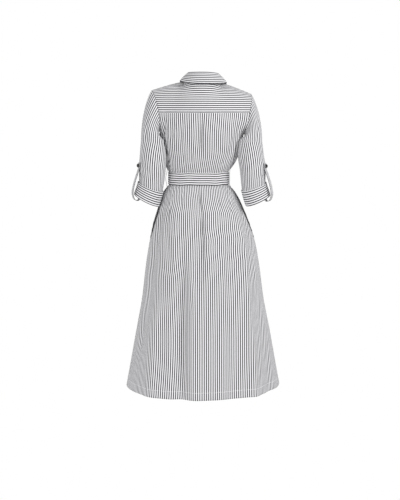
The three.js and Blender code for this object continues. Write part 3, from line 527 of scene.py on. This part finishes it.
def cloth_sheet(name, grid, lengths, inside, nodes, thickness=CLOTH, closed=False, material=None):
    """A thin sheet through the points of a grid. inside is a place in mm on its inner side."""
    rows, columns = grid.shape[:2]
    bm = bmesh.new()
    bmesh.ops.create_grid(bm, x_segments=columns - 1, y_segments=rows - 1, size=0.5,
                          calc_uvs=True)
    layer = bm.loops.layers.uv.verify()
    for vertex in bm.verts:
        j = round((vertex.co.x + 0.5) * (columns - 1))
        i = round((0.5 - vertex.co.y) * (rows - 1))
        vertex.co = Vector(grid[i, j] * MM)
        for loop in vertex.link_loops:
            loop[layer].uv = lengths[i, j]
    if closed:
        bmesh.ops.remove_doubles(bm, verts=bm.verts, dist=2e-6)
    bm.normal_update()
    middle = Vector(inside) * MM
    facing = sum((f.calc_center_median() - middle).dot(f.normal) for f in bm.faces)
    if facing < 0:
        bmesh.ops.reverse_faces(bm, faces=bm.faces)
    piece = finish_piece(name, bm, material or cotton, nodes)
    solid = piece.modifiers.new("cloth", "SOLIDIFY")
    solid.thickness = thickness * MM
    solid.offset = -1
    return piece


def stitches(name, lines, width=0.55, length=2.4, gap=1.1, material=None):
    """Rows of stitches along lines of points in mm, each a small rounded bar."""
    bars = []
    for line in lines:
        steps = np.linalg.norm(np.diff(line, axis=0), axis=-1)
        along = np.concatenate([[0], np.cumsum(steps)])
        count = int(along[-1] / (length + gap))
        starts = np.arange(count) * (along[-1] / max(count, 1))
        ends = starts + length
        a = np.stack([np.interp(starts, along, line[:, k]) for k in range(3)], axis=-1)
        b = np.stack([np.interp(ends, along, line[:, k]) for k in range(3)], axis=-1)
        bars.append(np.stack([a, b], axis=1))
    bars = np.concatenate(bars)
    corners, faces = [], []
    ring = [(math.cos(t), math.sin(t)) for t in np.radians((0, 90, 180, 270))]
    for a, b in bars:
        way = unit(b - a)
        side = unit(np.cross(way, (0.31, 0.17, 0.93)))
        rise = np.cross(way, side)
        base = len(corners)
        for share, radius in ((0, 0.25), (0.18, 1), (0.82, 1), (1, 0.25)):
            centre = mix(a, b, share)
            corners += [centre + (side * c + rise * s) * radius * width / 2 for c, s in ring]
        for k in range(3):
            for q in range(4):
                one, two = base + 4 * k + q, base + 4 * k + (q + 1) % 4
                faces.append((one, two, two + 4, one + 4))
        faces.append((base + 3, base + 2, base + 1, base))
        faces.append((base + 12, base + 13, base + 14, base + 15))
    mesh = bpy.data.meshes.new(name)
    mesh.from_pydata([Vector(c * MM) for c in corners], [], faces)
    for polygon in mesh.polygons:
        polygon.use_smooth = True
    mesh.materials.append(material or thread)
    piece = bpy.data.objects.new(name, mesh)
    bpy.context.scene.collection.objects.link(piece)
    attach(piece, "root")
    return piece


# Yarns and finishes
STRIPE_PITCH = 0.00835
WHITE_YARN = (0.95, 0.94, 0.96, 1)
DARK_YARN = (0.012, 0.012, 0.022, 1)
DARK_SHARE = 0.45


def new_material(name):
    material = bpy.data.materials.new(name)
    material.use_nodes = True
    return material, material.node_tree, material.node_tree.nodes["Principled BSDF"]


def math_node(tree, kind, a, b=0.0):
    node = tree.nodes.new("ShaderNodeMath")
    node.operation = kind
    for socket, value in zip(node.inputs, (a, b)):
        if isinstance(value, (int, float)):
            socket.default_value = value
        else:
            tree.links.new(value, socket)
    return node.outputs[0]


def make_cotton():
    """Yarn-dyed cotton: stripes along the flat cloth, a fine weave and a faint unevenness."""
    material, tree, shader = new_material("striped cotton")
    uv = tree.nodes.new("ShaderNodeUVMap")
    split = tree.nodes.new("ShaderNodeSeparateXYZ")
    tree.links.new(uv.outputs[0], split.inputs[0])
    across, down = split.outputs[0], split.outputs[1]
    place = math_node(tree, "FRACT", math_node(tree, "MULTIPLY", across, 1 / STRIPE_PITCH))
    off = math_node(tree, "ABSOLUTE", math_node(tree, "SUBTRACT", place, 0.5))
    edge = tree.nodes.new("ShaderNodeMapRange")
    edge.interpolation_type = "SMOOTHSTEP"
    tree.links.new(off, edge.inputs["Value"])
    edge.inputs["From Min"].default_value = DARK_SHARE / 2 - 0.035
    edge.inputs["From Max"].default_value = DARK_SHARE / 2 + 0.035
    noise = tree.nodes.new("ShaderNodeTexNoise")
    noise.inputs["Scale"].default_value = 260
    noise.inputs["Detail"].default_value = 3
    tree.links.new(uv.outputs[0], noise.inputs["Vector"])
    colour = tree.nodes.new("ShaderNodeMix")
    colour.data_type = "RGBA"
    colour.inputs["A"].default_value = DARK_YARN
    colour.inputs["B"].default_value = WHITE_YARN
    tree.links.new(edge.outputs[0], colour.inputs["Factor"])
    worn = tree.nodes.new("ShaderNodeMix")
    worn.data_type = "RGBA"
    worn.blend_type = "MULTIPLY"
    worn.inputs["Factor"].default_value = 0.16
    tree.links.new(colour.outputs["Result"], worn.inputs["A"])
    tree.links.new(noise.outputs["Fac"], worn.inputs["B"])
    tree.links.new(worn.outputs["Result"], shader.inputs["Base Color"])
    shader.inputs["Roughness"].default_value = 0.85
    shader.inputs["Specular IOR Level"].default_value = 0.25
    shader.inputs["Sheen Weight"].default_value = 0.15
    shader.inputs["Sheen Roughness"].default_value = 0.5
    warp = math_node(tree, "SINE", math_node(tree, "MULTIPLY", across, 2 * math.pi / 0.0005))
    weft = math_node(tree, "SINE", math_node(tree, "MULTIPLY", down, 2 * math.pi / 0.00055))
    weave = math_node(tree, "MULTIPLY", warp, weft)
    uneven = tree.nodes.new("ShaderNodeTexNoise")
    uneven.inputs["Scale"].default_value = 45
    uneven.inputs["Detail"].default_value = 4
    tree.links.new(uv.outputs[0], uneven.inputs["Vector"])
    height = math_node(tree, "ADD", math_node(tree, "MULTIPLY", weave, 0.05),
                       math_node(tree, "MULTIPLY", uneven.outputs["Fac"], 0.9))
    bump = tree.nodes.new("ShaderNodeBump")
    bump.inputs["Strength"].default_value = 0.35
    bump.inputs["Distance"].default_value = 0.0012
    tree.links.new(height, bump.inputs["Height"])
    tree.links.new(bump.outputs[0], shader.inputs["Normal"])
    return material


def make_plain(name, colour, roughness, coat=0.0):
    material, _, shader = new_material(name)
    shader.inputs["Base Color"].default_value = (*colour, 1)
    shader.inputs["Roughness"].default_value = roughness
    shader.inputs["Coat Weight"].default_value = coat
    shader.inputs["Coat Roughness"].default_value = 0.15
    return material


cotton = make_cotton()
thread = make_plain("thread", (0.92, 0.92, 0.93), 0.7)
dark_thread = make_plain("dark thread", (0.02, 0.02, 0.028), 0.7)
shell = make_plain("button", (0.006, 0.006, 0.008), 0.42)


# Bodice: yoke, back and fronts
SEAM_SHARE = 0.0009
YOKE_STITCH_ROWS = (0.955, 0.985)
BODY_MIDDLE = (0, 0, -250)


def yoke_place(u, v):
    across = mix(-1 + SEAM_SHARE, 1 - SEAM_SHARE, u)
    return bodice_point(BACK, across, mix(0.002, yoke_row(across), v))


def back_place(u, v):
    across = mix(-1 + SEAM_SHARE, 1 - SEAM_SHARE, u)
    return bodice_point(BACK, across, mix(yoke_row(across), 2, v ** 1.05))


def half_place(surface, side, top, bottom):
    def place(u, v):
        across = side * mix(SEAM_SHARE, 1 - SEAM_SHARE, u)
        return surface(FRONT, across, mix(top, bottom, v))
    return place


yoke_grid = grid_of(171, 32, yoke_place)
yoke_rise = np.linalg.norm(np.diff(yoke_grid[::-1], axis=0)[..., 1:], axis=-1)
yoke_rise = np.concatenate([np.zeros((1, 171)), np.cumsum(yoke_rise, axis=0)])[::-1]
yoke_lengths = np.stack([yoke_rise * MM, flat_lengths(yoke_grid, 85)[..., 0]], axis=-1)
yoke = cloth_sheet("yoke_cloth", yoke_grid, yoke_lengths, (0, 0, -150), ["yoke"])

back_grid = grid_of(171, 121, back_place)
BLOUSED = 0.16
back_gathered = 1 + BLOUSED * smooth((between(121) - 0.35) / 0.65)
back = cloth_sheet("back_bodice_cloth", back_grid, flat_lengths(back_grid, 85, back_gathered),
                   BODY_MIDDLE, ["back_bodice"])
front_gathered = 1 + BLOUSED * smooth((between(131) - 0.5) / 0.5)
for side, word in SIDES:
    grid = grid_of(91, 131, half_place(bodice_point, side, 0.002, 2))
    cloth_sheet("front_bodice_%s_cloth" % word, grid,
                              flat_lengths(grid, 0, front_gathered),
                              BODY_MIDDLE, ["front_bodice_" + word])

# Skirt
SKIRT_MIDDLE = (0, 0, -800)
SKIRT_TOP_ROW, SKIRT_ROWS = 0.001, 171


# The pockets gape at the side seams: the back stands in from the front by so many mm
POCKET_GAPE = {LEFT: 16, RIGHT: 8}
POCKET_TOP_Z, POCKET_BOTTOM_Z = -400, -640
POCKET_SHARE = 0.75


def skirt_back_place(u, v):
    across = mix(-1 + SEAM_SHARE, 1 - SEAM_SHARE, u)
    point = skirt_point(BACK, across, mix(SKIRT_TOP_ROW, 1, v))
    z = point[..., 2]
    open_ = smooth((POCKET_TOP_Z - z) / 50) * smooth((z - POCKET_BOTTOM_Z) / 130)
    gape = np.where(across > 0, POCKET_GAPE[LEFT], -POCKET_GAPE[RIGHT])
    point[..., 0] -= gape * open_ * smooth((np.abs(across) - POCKET_SHARE) / (1 - POCKET_SHARE))
    return point


SKIRT_GATHERED = 0.3
skirt_gathered = 1 + SKIRT_GATHERED * (1 - smooth(between(SKIRT_ROWS) / 0.22))
skirt_grid = grid_of(221, SKIRT_ROWS, skirt_back_place)
skirt_back = cloth_sheet("skirt_back_cloth", skirt_grid,
                         flat_lengths(skirt_grid, 110, skirt_gathered),
                         SKIRT_MIDDLE, ["skirt_back"])
for side, word in SIDES:
    grid = grid_of(111, SKIRT_ROWS, half_place(skirt_point, side, SKIRT_TOP_ROW, 1))
    cloth_sheet("skirt_front_%s_cloth" % word, grid,
                                    flat_lengths(grid, 0, skirt_gathered),
                                    SKIRT_MIDDLE, ["skirt_front_" + word])


# Plackets, with the buttons on them
def placket_place(surface, top, bottom, out):
    def place(u, v):
        row = mix(top, bottom, v)
        centre = surface(FRONT, 0 * u, row)
        low, high = np.full(u.shape, -0.5), np.full(u.shape, 0.5)
        for _ in range(24):
            middle = (low + high) / 2
            short = surface(FRONT, middle, row)[..., 0] - centre[..., 0] < mix(
                -PLACKET_WIDTH / 2, PLACKET_WIDTH / 2, u)
            low, high = np.where(short, middle, low), np.where(short, high, middle)
        point = surface(FRONT, low, row)
        point[..., 1] -= out
        return point
    return place


PLACKET_OUT = 2.4
bodice_strip = grid_of(13, 121, placket_place(bodice_point, 0.004, 1.93, PLACKET_OUT))
skirt_strip = grid_of(13, 161, placket_place(skirt_point, 0.03, 1, PLACKET_OUT))
placket_top = cloth_sheet("placket_bodice_cloth", bodice_strip, flat_lengths(bodice_strip, 6),
                          BODY_MIDDLE, ["placket_bodice"])
placket_low = cloth_sheet("placket_skirt_cloth", skirt_strip, flat_lengths(skirt_strip, 6),
                          SKIRT_MIDDLE, ["placket_skirt"])


def make_button_mesh():
    """A button with a raised rim and four holes, its underside at the origin, facing +Z."""
    r, h = BUTTON_WIDTH / 2 * MM, BUTTON_HEIGHT * MM
    profile = [(0, 0), (0.8, 0), (0.93, 0.12), (1, 0.45), (0.98, 0.75), (0.9, 0.97), (0.82, 1),
               (0.74, 0.95), (0.64, 0.78), (0.5, 0.72), (0, 0.72)]
    bm = bmesh.new()
    line = [bm.verts.new((r * x, 0, h * z)) for x, z in profile]
    edges = [bm.edges.new(pair) for pair in zip(line, line[1:])]
    bmesh.ops.spin(bm, geom=line + edges, cent=(0, 0, 0), axis=(0, 0, 1),
                   angle=2 * math.pi, steps=40, use_merge=True)
    bmesh.ops.remove_doubles(bm, verts=bm.verts, dist=1e-6)
    bmesh.ops.recalc_face_normals(bm, faces=bm.faces)
    mesh = bpy.data.meshes.new("button")
    bm.to_mesh(mesh)
    bm.free()
    body = bpy.data.objects.new("button body", mesh)
    bpy.context.scene.collection.objects.link(body)
    drill = bmesh.new()
    for x, y in ((1, 1), (-1, 1), (-1, -1), (1, -1)):
        made = bmesh.ops.create_cone(drill, cap_ends=True, segments=14, radius1=0.9 * MM,
                                     radius2=0.9 * MM, depth=4 * h)
        bmesh.ops.translate(drill, verts=made["verts"], vec=(1.35 * MM * x, 1.35 * MM * y, 0))
    drill_mesh = bpy.data.meshes.new("drill")
    drill.to_mesh(drill_mesh)
    drill.free()
    holes = bpy.data.objects.new("drill", drill_mesh)
    bpy.context.scene.collection.objects.link(holes)
    cut = body.modifiers.new("holes", "BOOLEAN")
    cut.object = holes
    cut.operation = "DIFFERENCE"
    cut.solver = "EXACT"
    graph = bpy.context.evaluated_depsgraph_get()
    result = bpy.data.meshes.new_from_object(body.evaluated_get(graph))
    bpy.data.objects.remove(body)
    bpy.data.objects.remove(holes)
    for polygon in result.polygons:
        polygon.use_smooth = True
    result.materials.clear()
    result.materials.append(shell)
    return result


button_mesh = make_button_mesh()


def place_button(name, foot, normal):
    mesh = button_mesh.copy()
    turn = Vector((0, 0, 1)).rotation_difference(Vector(normal)).to_matrix().to_4x4()
    turn.translation = Vector(foot * MM)
    mesh.transform(turn)
    piece = bpy.data.objects.new(name + "_shell", mesh)
    bpy.context.scene.collection.objects.link(piece)
    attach(piece, "root")
    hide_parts(name)
    side = unit(np.cross(normal, (0.01, 0.02, 1)))
    rise = np.cross(side, normal)
    top = foot + np.asarray(normal) * (BUTTON_HEIGHT * 0.72 + 0.25)
    return [np.array([top + (side * a + rise * b) * 1.35, top - (side * -a + rise * b) * 1.35])
            for a, b in ((1, 1), (-1, 1))]


button_threads = []
for number, z in enumerate(BUTTON_HEIGHTS):
    strip = bodice_strip if z > WAIST_Z else skirt_strip
    line = strip[:, 6]
    i = int(np.argmin(np.abs(line[:, 2] - z)))
    along = line[i + 1] - line[i - 1]
    normal = unit(np.cross(along, (1, 0, 0)))
    button_threads += place_button("button_%02d" % (number + 1), line[i] + normal * 0.5, normal)


# Belt
def belt_out(degrees):
    lapped = (degrees - BELT_START_ANGLE - 360 + 22) / 20
    return 0.9 + BELT_CLOTH + smooth(lapped) * (BELT_CLOTH + 0.6)


def belt_place(u, v):
    degrees = mix(BELT_START_ANGLE, BELT_START_ANGLE + 360 + BELT_LAP_ANGLE, u)
    z = mix(BELT_TOP_Z, BELT_BOTTOM_Z, v)
    wave = 0.8 * np.sin(math.pi * v) * np.sin(np.radians(7 * degrees)) ** 2
    sag = 0.9 * np.sin(np.radians(5 * degrees + 40)) + 0.5 * np.sin(np.radians(11 * degrees))
    return waist_point(degrees, z + sag, belt_out(degrees) + wave)


belt_grid = grid_of(281, 13, belt_place)
belt_lengths = flat_lengths(belt_grid, 140)[..., ::-1]
belt = cloth_sheet("belt_cloth", belt_grid, belt_lengths, (0, 0, WAIST_Z), ["belt"],
                   thickness=1.6)


# Sleeves, cuffs and roll tabs
def cuff_row(along):
    return 1 + mix(CUFF_TOP_SHARE, 1, along)


SLEEVE_GIRTH, SLEEVE_LENGTH = 0.308, 0.41


def sleeve_middle(side):
    return (side * 190, 40, -330)


def plain_sleeve(side):
    """The sleeve's surface without its creases, for what lies on it."""
    return lambda round_, row: sleeve_point(side, round_, row, False)


def sleeve_place(side):
    return lambda u, v: sleeve_point(side, u, mix(0, cuff_row(SLEEVE_END_ALONG), v))


def cuff_place(side):
    """The cuff's cloth from its top edge down over its fold and up inside."""
    section = np.array([(0, 0, 3.9), (0.2, 0.3, 3.9), (0.42, 0.7, 4), (0.55, 0.93, 3.9),
                        (0.62, 0.99, 2.6), (0.68, 0.99, 0.6), (0.76, 0.94, -1.2),
                        (0.88, 0.86, -2.2), (1, 0.7, -2.6)])

    def place(u, v):
        along = np.interp(v, section[:, 0], section[:, 1])
        out = np.interp(v, section[:, 0], section[:, 2])
        flare = 0.8 * np.sin(2 * math.pi * (3 * u + 0.2)) * np.sin(math.pi * np.clip(v, 0, 0.5))
        return lifted(plain_sleeve(side), u, cuff_row(along), out + flare, np.array(sleeve_middle(side)))
    return place


def catmull(knots, count):
    knots = np.asarray(knots, float)
    padded = np.concatenate([2 * knots[:1] - knots[1:2], knots, 2 * knots[-1:] - knots[-2:-1]])
    t = np.linspace(0, len(knots) - 1, count)
    i = np.minimum(t.astype(int), len(knots) - 2)
    f = (t - i)[:, None]
    a, b, c, d = padded[i], padded[i + 1], padded[i + 2], padded[i + 3]
    return 0.5 * (2 * b + (c - a) * f + (2 * a - 5 * b + 4 * c - d) * f ** 2
                  + (3 * b - a - 3 * c + d) * f ** 3)


def tab_foot(side, share, out, away):
    point = sleeve_point(side, np.array(TAB_PLACE), np.array(1 + share), False)
    return point + away * out


sleeves, cuffs, tabs = {}, {}, {}
for side, word in SIDES:
    grid = grid_of(121, 101, sleeve_place(side))
    round_arm, along = np.meshgrid(between(121, -0.5, 0.5) * SLEEVE_GIRTH,
                                   between(101) * SLEEVE_LENGTH)
    sleeves[side] = cloth_sheet("sleeve_%s_cloth" % word, grid,
                                np.stack([round_arm, along], axis=-1),
                                sleeve_middle(side), ["sleeve_" + word], closed=True)
    grid = grid_of(121, 33, cuff_place(side))
    cuffs[side] = cloth_sheet("cuff_%s_cloth" % word, grid,
                              flat_lengths(grid, 60)[..., ::-1], sleeve_middle(side),
                              ["cuff_" + word], closed=True, thickness=1.4)
    here = np.array(TAB_PLACE)
    button_row = np.array(1 + TAB_SHARES[1])
    plain = plain_sleeve(side)
    foot = plain(here, button_row)
    normal = unit(lifted(plain, here, button_row, 1.0, np.array(sleeve_middle(side))) - foot)
    outwards = unit(normal * (1, 1, 0))
    fold = plain(here, np.array(2.0))
    knots = [tab_foot(side, share, 2.1, normal) for share in TAB_SHARES]
    knots += [fold + outwards * off + np.array((0, 0, up)) for off, up in TAB_PATH]
    line = catmull(knots, 90)
    width = unit(np.cross((0, 0, 1), outwards))
    places = between(13, -TAB_WIDTH / 2, TAB_WIDTH / 2)
    grid = line[:, None] + width * places[:, None]
    tabs[side] = cloth_sheet("tab_%s_cloth" % word, grid, flat_lengths(grid, 6),
                             tuple(fold - outwards * 40), ["tab_" + word], thickness=1.4)
    facing = unit(normal + np.array((0, TAB_BUTTON_TURN, 0)))
    button_threads += place_button("tab_button_" + word, tab_foot(
        side, TAB_SHARES[1], 3.4, normal), facing)


# Collar
def collar_place(top, edge, front_turn, bulge):
    def place(u, v):
        turn = mix(-front_turn, front_turn, u)
        point = mix(top(turn), edge(turn), v[..., None])
        away = unit(points(point[..., 0], point[..., 1] + 5, 0))
        return point + away * (bulge * np.sin(math.pi * v))[..., None]
    return place


STAND_FRONT_TURN, LEAF_FRONT_TURN = 179.7, 168
LEAF_BULGE = 2


def stand_top(degrees):
    return collar_point(STAND_TOP, degrees)


def leaf_top(degrees):
    return collar_point(LEAF_TOP, degrees)


def leaf_edge(degrees):
    return collar_point(LEAF_EDGE, degrees)


stand_grid = grid_of(145, 13, collar_place(stand_top, neckline_point, STAND_FRONT_TURN, 0))
stand = cloth_sheet("collar_stand_cloth", stand_grid, flat_lengths(stand_grid, 72)[..., ::-1],
                    (NECK_SWAY, 0, -20), ["collar_stand"], thickness=1.6)
leaf_place = collar_place(leaf_top, leaf_edge, LEAF_FRONT_TURN, LEAF_BULGE)
leaf_grid = grid_of(161, 25, leaf_place)
leaf = cloth_sheet("collar_leaf_cloth", leaf_grid, flat_lengths(leaf_grid, 80)[..., ::-1],
                   (NECK_SWAY, 0, -40), ["collar_leaf"], thickness=1.6)


# Stitches
def edge_line(place, u, v, out, outside, count=200):
    """A line on a surface, a little outside it."""
    t = between(count)
    return lifted(place, mix(u[0], u[1], t), mix(v[0], v[1], t), np.full(count, float(out)),
                  np.array(outside))


hem_lines = []
HEM_FOLD = 28 / (WAIST_Z - HEM_Z)
HEM_THREAD, HEM_STITCH, HEM_STITCH_GAP = 1.3, 4, 0.5
for place in (skirt_back_place, half_place(skirt_point, LEFT, SKIRT_TOP_ROW, 1),
              half_place(skirt_point, RIGHT, SKIRT_TOP_ROW, 1)):
    hem_lines.append(edge_line(place, (0.002, 0.998), (1 - HEM_FOLD, 1 - HEM_FOLD), 0.15,
                               SKIRT_MIDDLE, 400))
stitches("hem_stitches", hem_lines, HEM_THREAD, HEM_STITCH, HEM_STITCH_GAP)
seam_lines = [edge_line(yoke_place, (0.002, 0.998), (v, v), 0.15, BODY_MIDDLE, 300)
              for v in YOKE_STITCH_ROWS]
stitches("yoke_stitches", seam_lines)
# The sleeve cap's two rows of stitches: rows of the sleeve and the stretch round it
CAP_STITCH_ROWS, CAP_STITCHED, CAP_POINTS = (0.02, 0.07), (-0.3, 0.42), 260
STITCH_OUT = 0.2
cap_lines = []
for side in (LEFT, RIGHT):
    for row in CAP_STITCH_ROWS:
        t = between(CAP_POINTS, *CAP_STITCHED)
        cap_lines.append(lifted(plain_sleeve(side), t, np.full(CAP_POINTS, row),
                                np.full(CAP_POINTS, STITCH_OUT), np.array(sleeve_middle(side))))
stitches("armhole_stitches", cap_lines)

# Rows of edge stitching, a few mm inside the edges, and the thread in the buttons
EDGE_INSET = 0.09
belt_lines = [edge_line(belt_place, (0.004, 0.996), (v, v), 0.2, (0, 0, WAIST_Z), 400)
              for v in (EDGE_INSET, 1 - EDGE_INSET)]
stitches("belt_stitches", belt_lines)
stitches("collar_stitches", [edge_line(leaf_place, (0.01, 0.99), (0.9, 0.9), STITCH_OUT,
                                       (NECK_SWAY, 0, -40), 300)])
stitches("cuff_stitches", [edge_line(cuff_place(side), (0, 1), (0.035, 0.035), 0.2,
                                     sleeve_middle(side), 260) for side in (LEFT, RIGHT)])
SIDE_SEAM_TOP, SIDE_SEAM_BOTTOM = {LEFT: 150, RIGHT: -150}, {LEFT: 110, RIGHT: -105}
SIDE_SEAM_END_Z, SIDE_SEAM_INSET = -352, 4
side_lines = []
for side in (LEFT, RIGHT):
    for inset in (-SIDE_SEAM_INSET, SIDE_SEAM_INSET):
        line = [ring_point(BACK, np.array(share_across(x + inset, z)), np.array(z), 0.3)
                for x, z in zip(between(120, SIDE_SEAM_TOP[side], SIDE_SEAM_BOTTOM[side]),
                                between(120, UNDERARM_Z - 1, SIDE_SEAM_END_Z))]
        side_lines.append(np.array(line))
stitches("side_seam_stitches", side_lines, width=0.7)
placket_lines = []
for strip in (bodice_strip, skirt_strip):
    placket_lines += [strip[:, k] - np.array((0, 0.3, 0)) for k in (1, 11)]
stitches("placket_stitches", placket_lines)
stitches("button_threads", button_threads, width=0.5, length=2.6, gap=0.1,
         material=dark_thread)


# The photo's camera and its soft light
def set_camera():
    camera = bpy.data.cameras.new("camera")
    camera.lens = CAMERA_LENS
    camera.clip_end = 50
    holder = bpy.data.objects.new("camera", camera)
    holder.location = CAMERA_AT
    holder.rotation_euler = (math.radians(CAMERA_TILT), 0, math.radians(180))
    bpy.context.scene.collection.objects.link(holder)
    bpy.context.scene.camera = holder


def add_light(name, place, size, power):
    light = bpy.data.lights.new(name, "AREA")
    light.shape = "DISK"
    light.size = size
    light.energy = power
    holder = bpy.data.objects.new(name, light)
    holder.location = place
    toward = Vector((0, 0, -0.6)) - holder.location
    holder.rotation_mode = "QUATERNION"
    holder.rotation_quaternion = toward.to_track_quat("-Z", "Y")
    bpy.context.scene.collection.objects.link(holder)


def set_world():
    world = bpy.data.worlds.new("studio")
    bpy.context.scene.world = world
    world.use_nodes = True
    tree = world.node_tree
    tree.nodes["Background"].inputs["Strength"].default_value = 0.62
    seen = tree.nodes.new("ShaderNodeBackground")
    seen.inputs["Strength"].default_value = 1.0
    path = tree.nodes.new("ShaderNodeLightPath")
    blend = tree.nodes.new("ShaderNodeMixShader")
    for node in (tree.nodes["Background"], seen):
        node.inputs["Color"].default_value = (1, 1, 1, 1)
    tree.links.new(path.outputs["Is Camera Ray"], blend.inputs[0])
    tree.links.new(tree.nodes["Background"].outputs[0], blend.inputs[1])
    tree.links.new(seen.outputs[0], blend.inputs[2])
    tree.links.new(blend.outputs[0], tree.nodes["World Output"].inputs["Surface"])


# Name, place, size across and power
LIGHTS = (
    ("key", (-3.4, 2.4, 1.6), 1.3, 110),
    ("fill", (3.2, 3.4, -1.0), 2.4, 70))
set_camera()
set_world()
for light in LIGHTS:
    add_light(*light)
bpy.context.scene.view_settings.view_transform = "Standard"
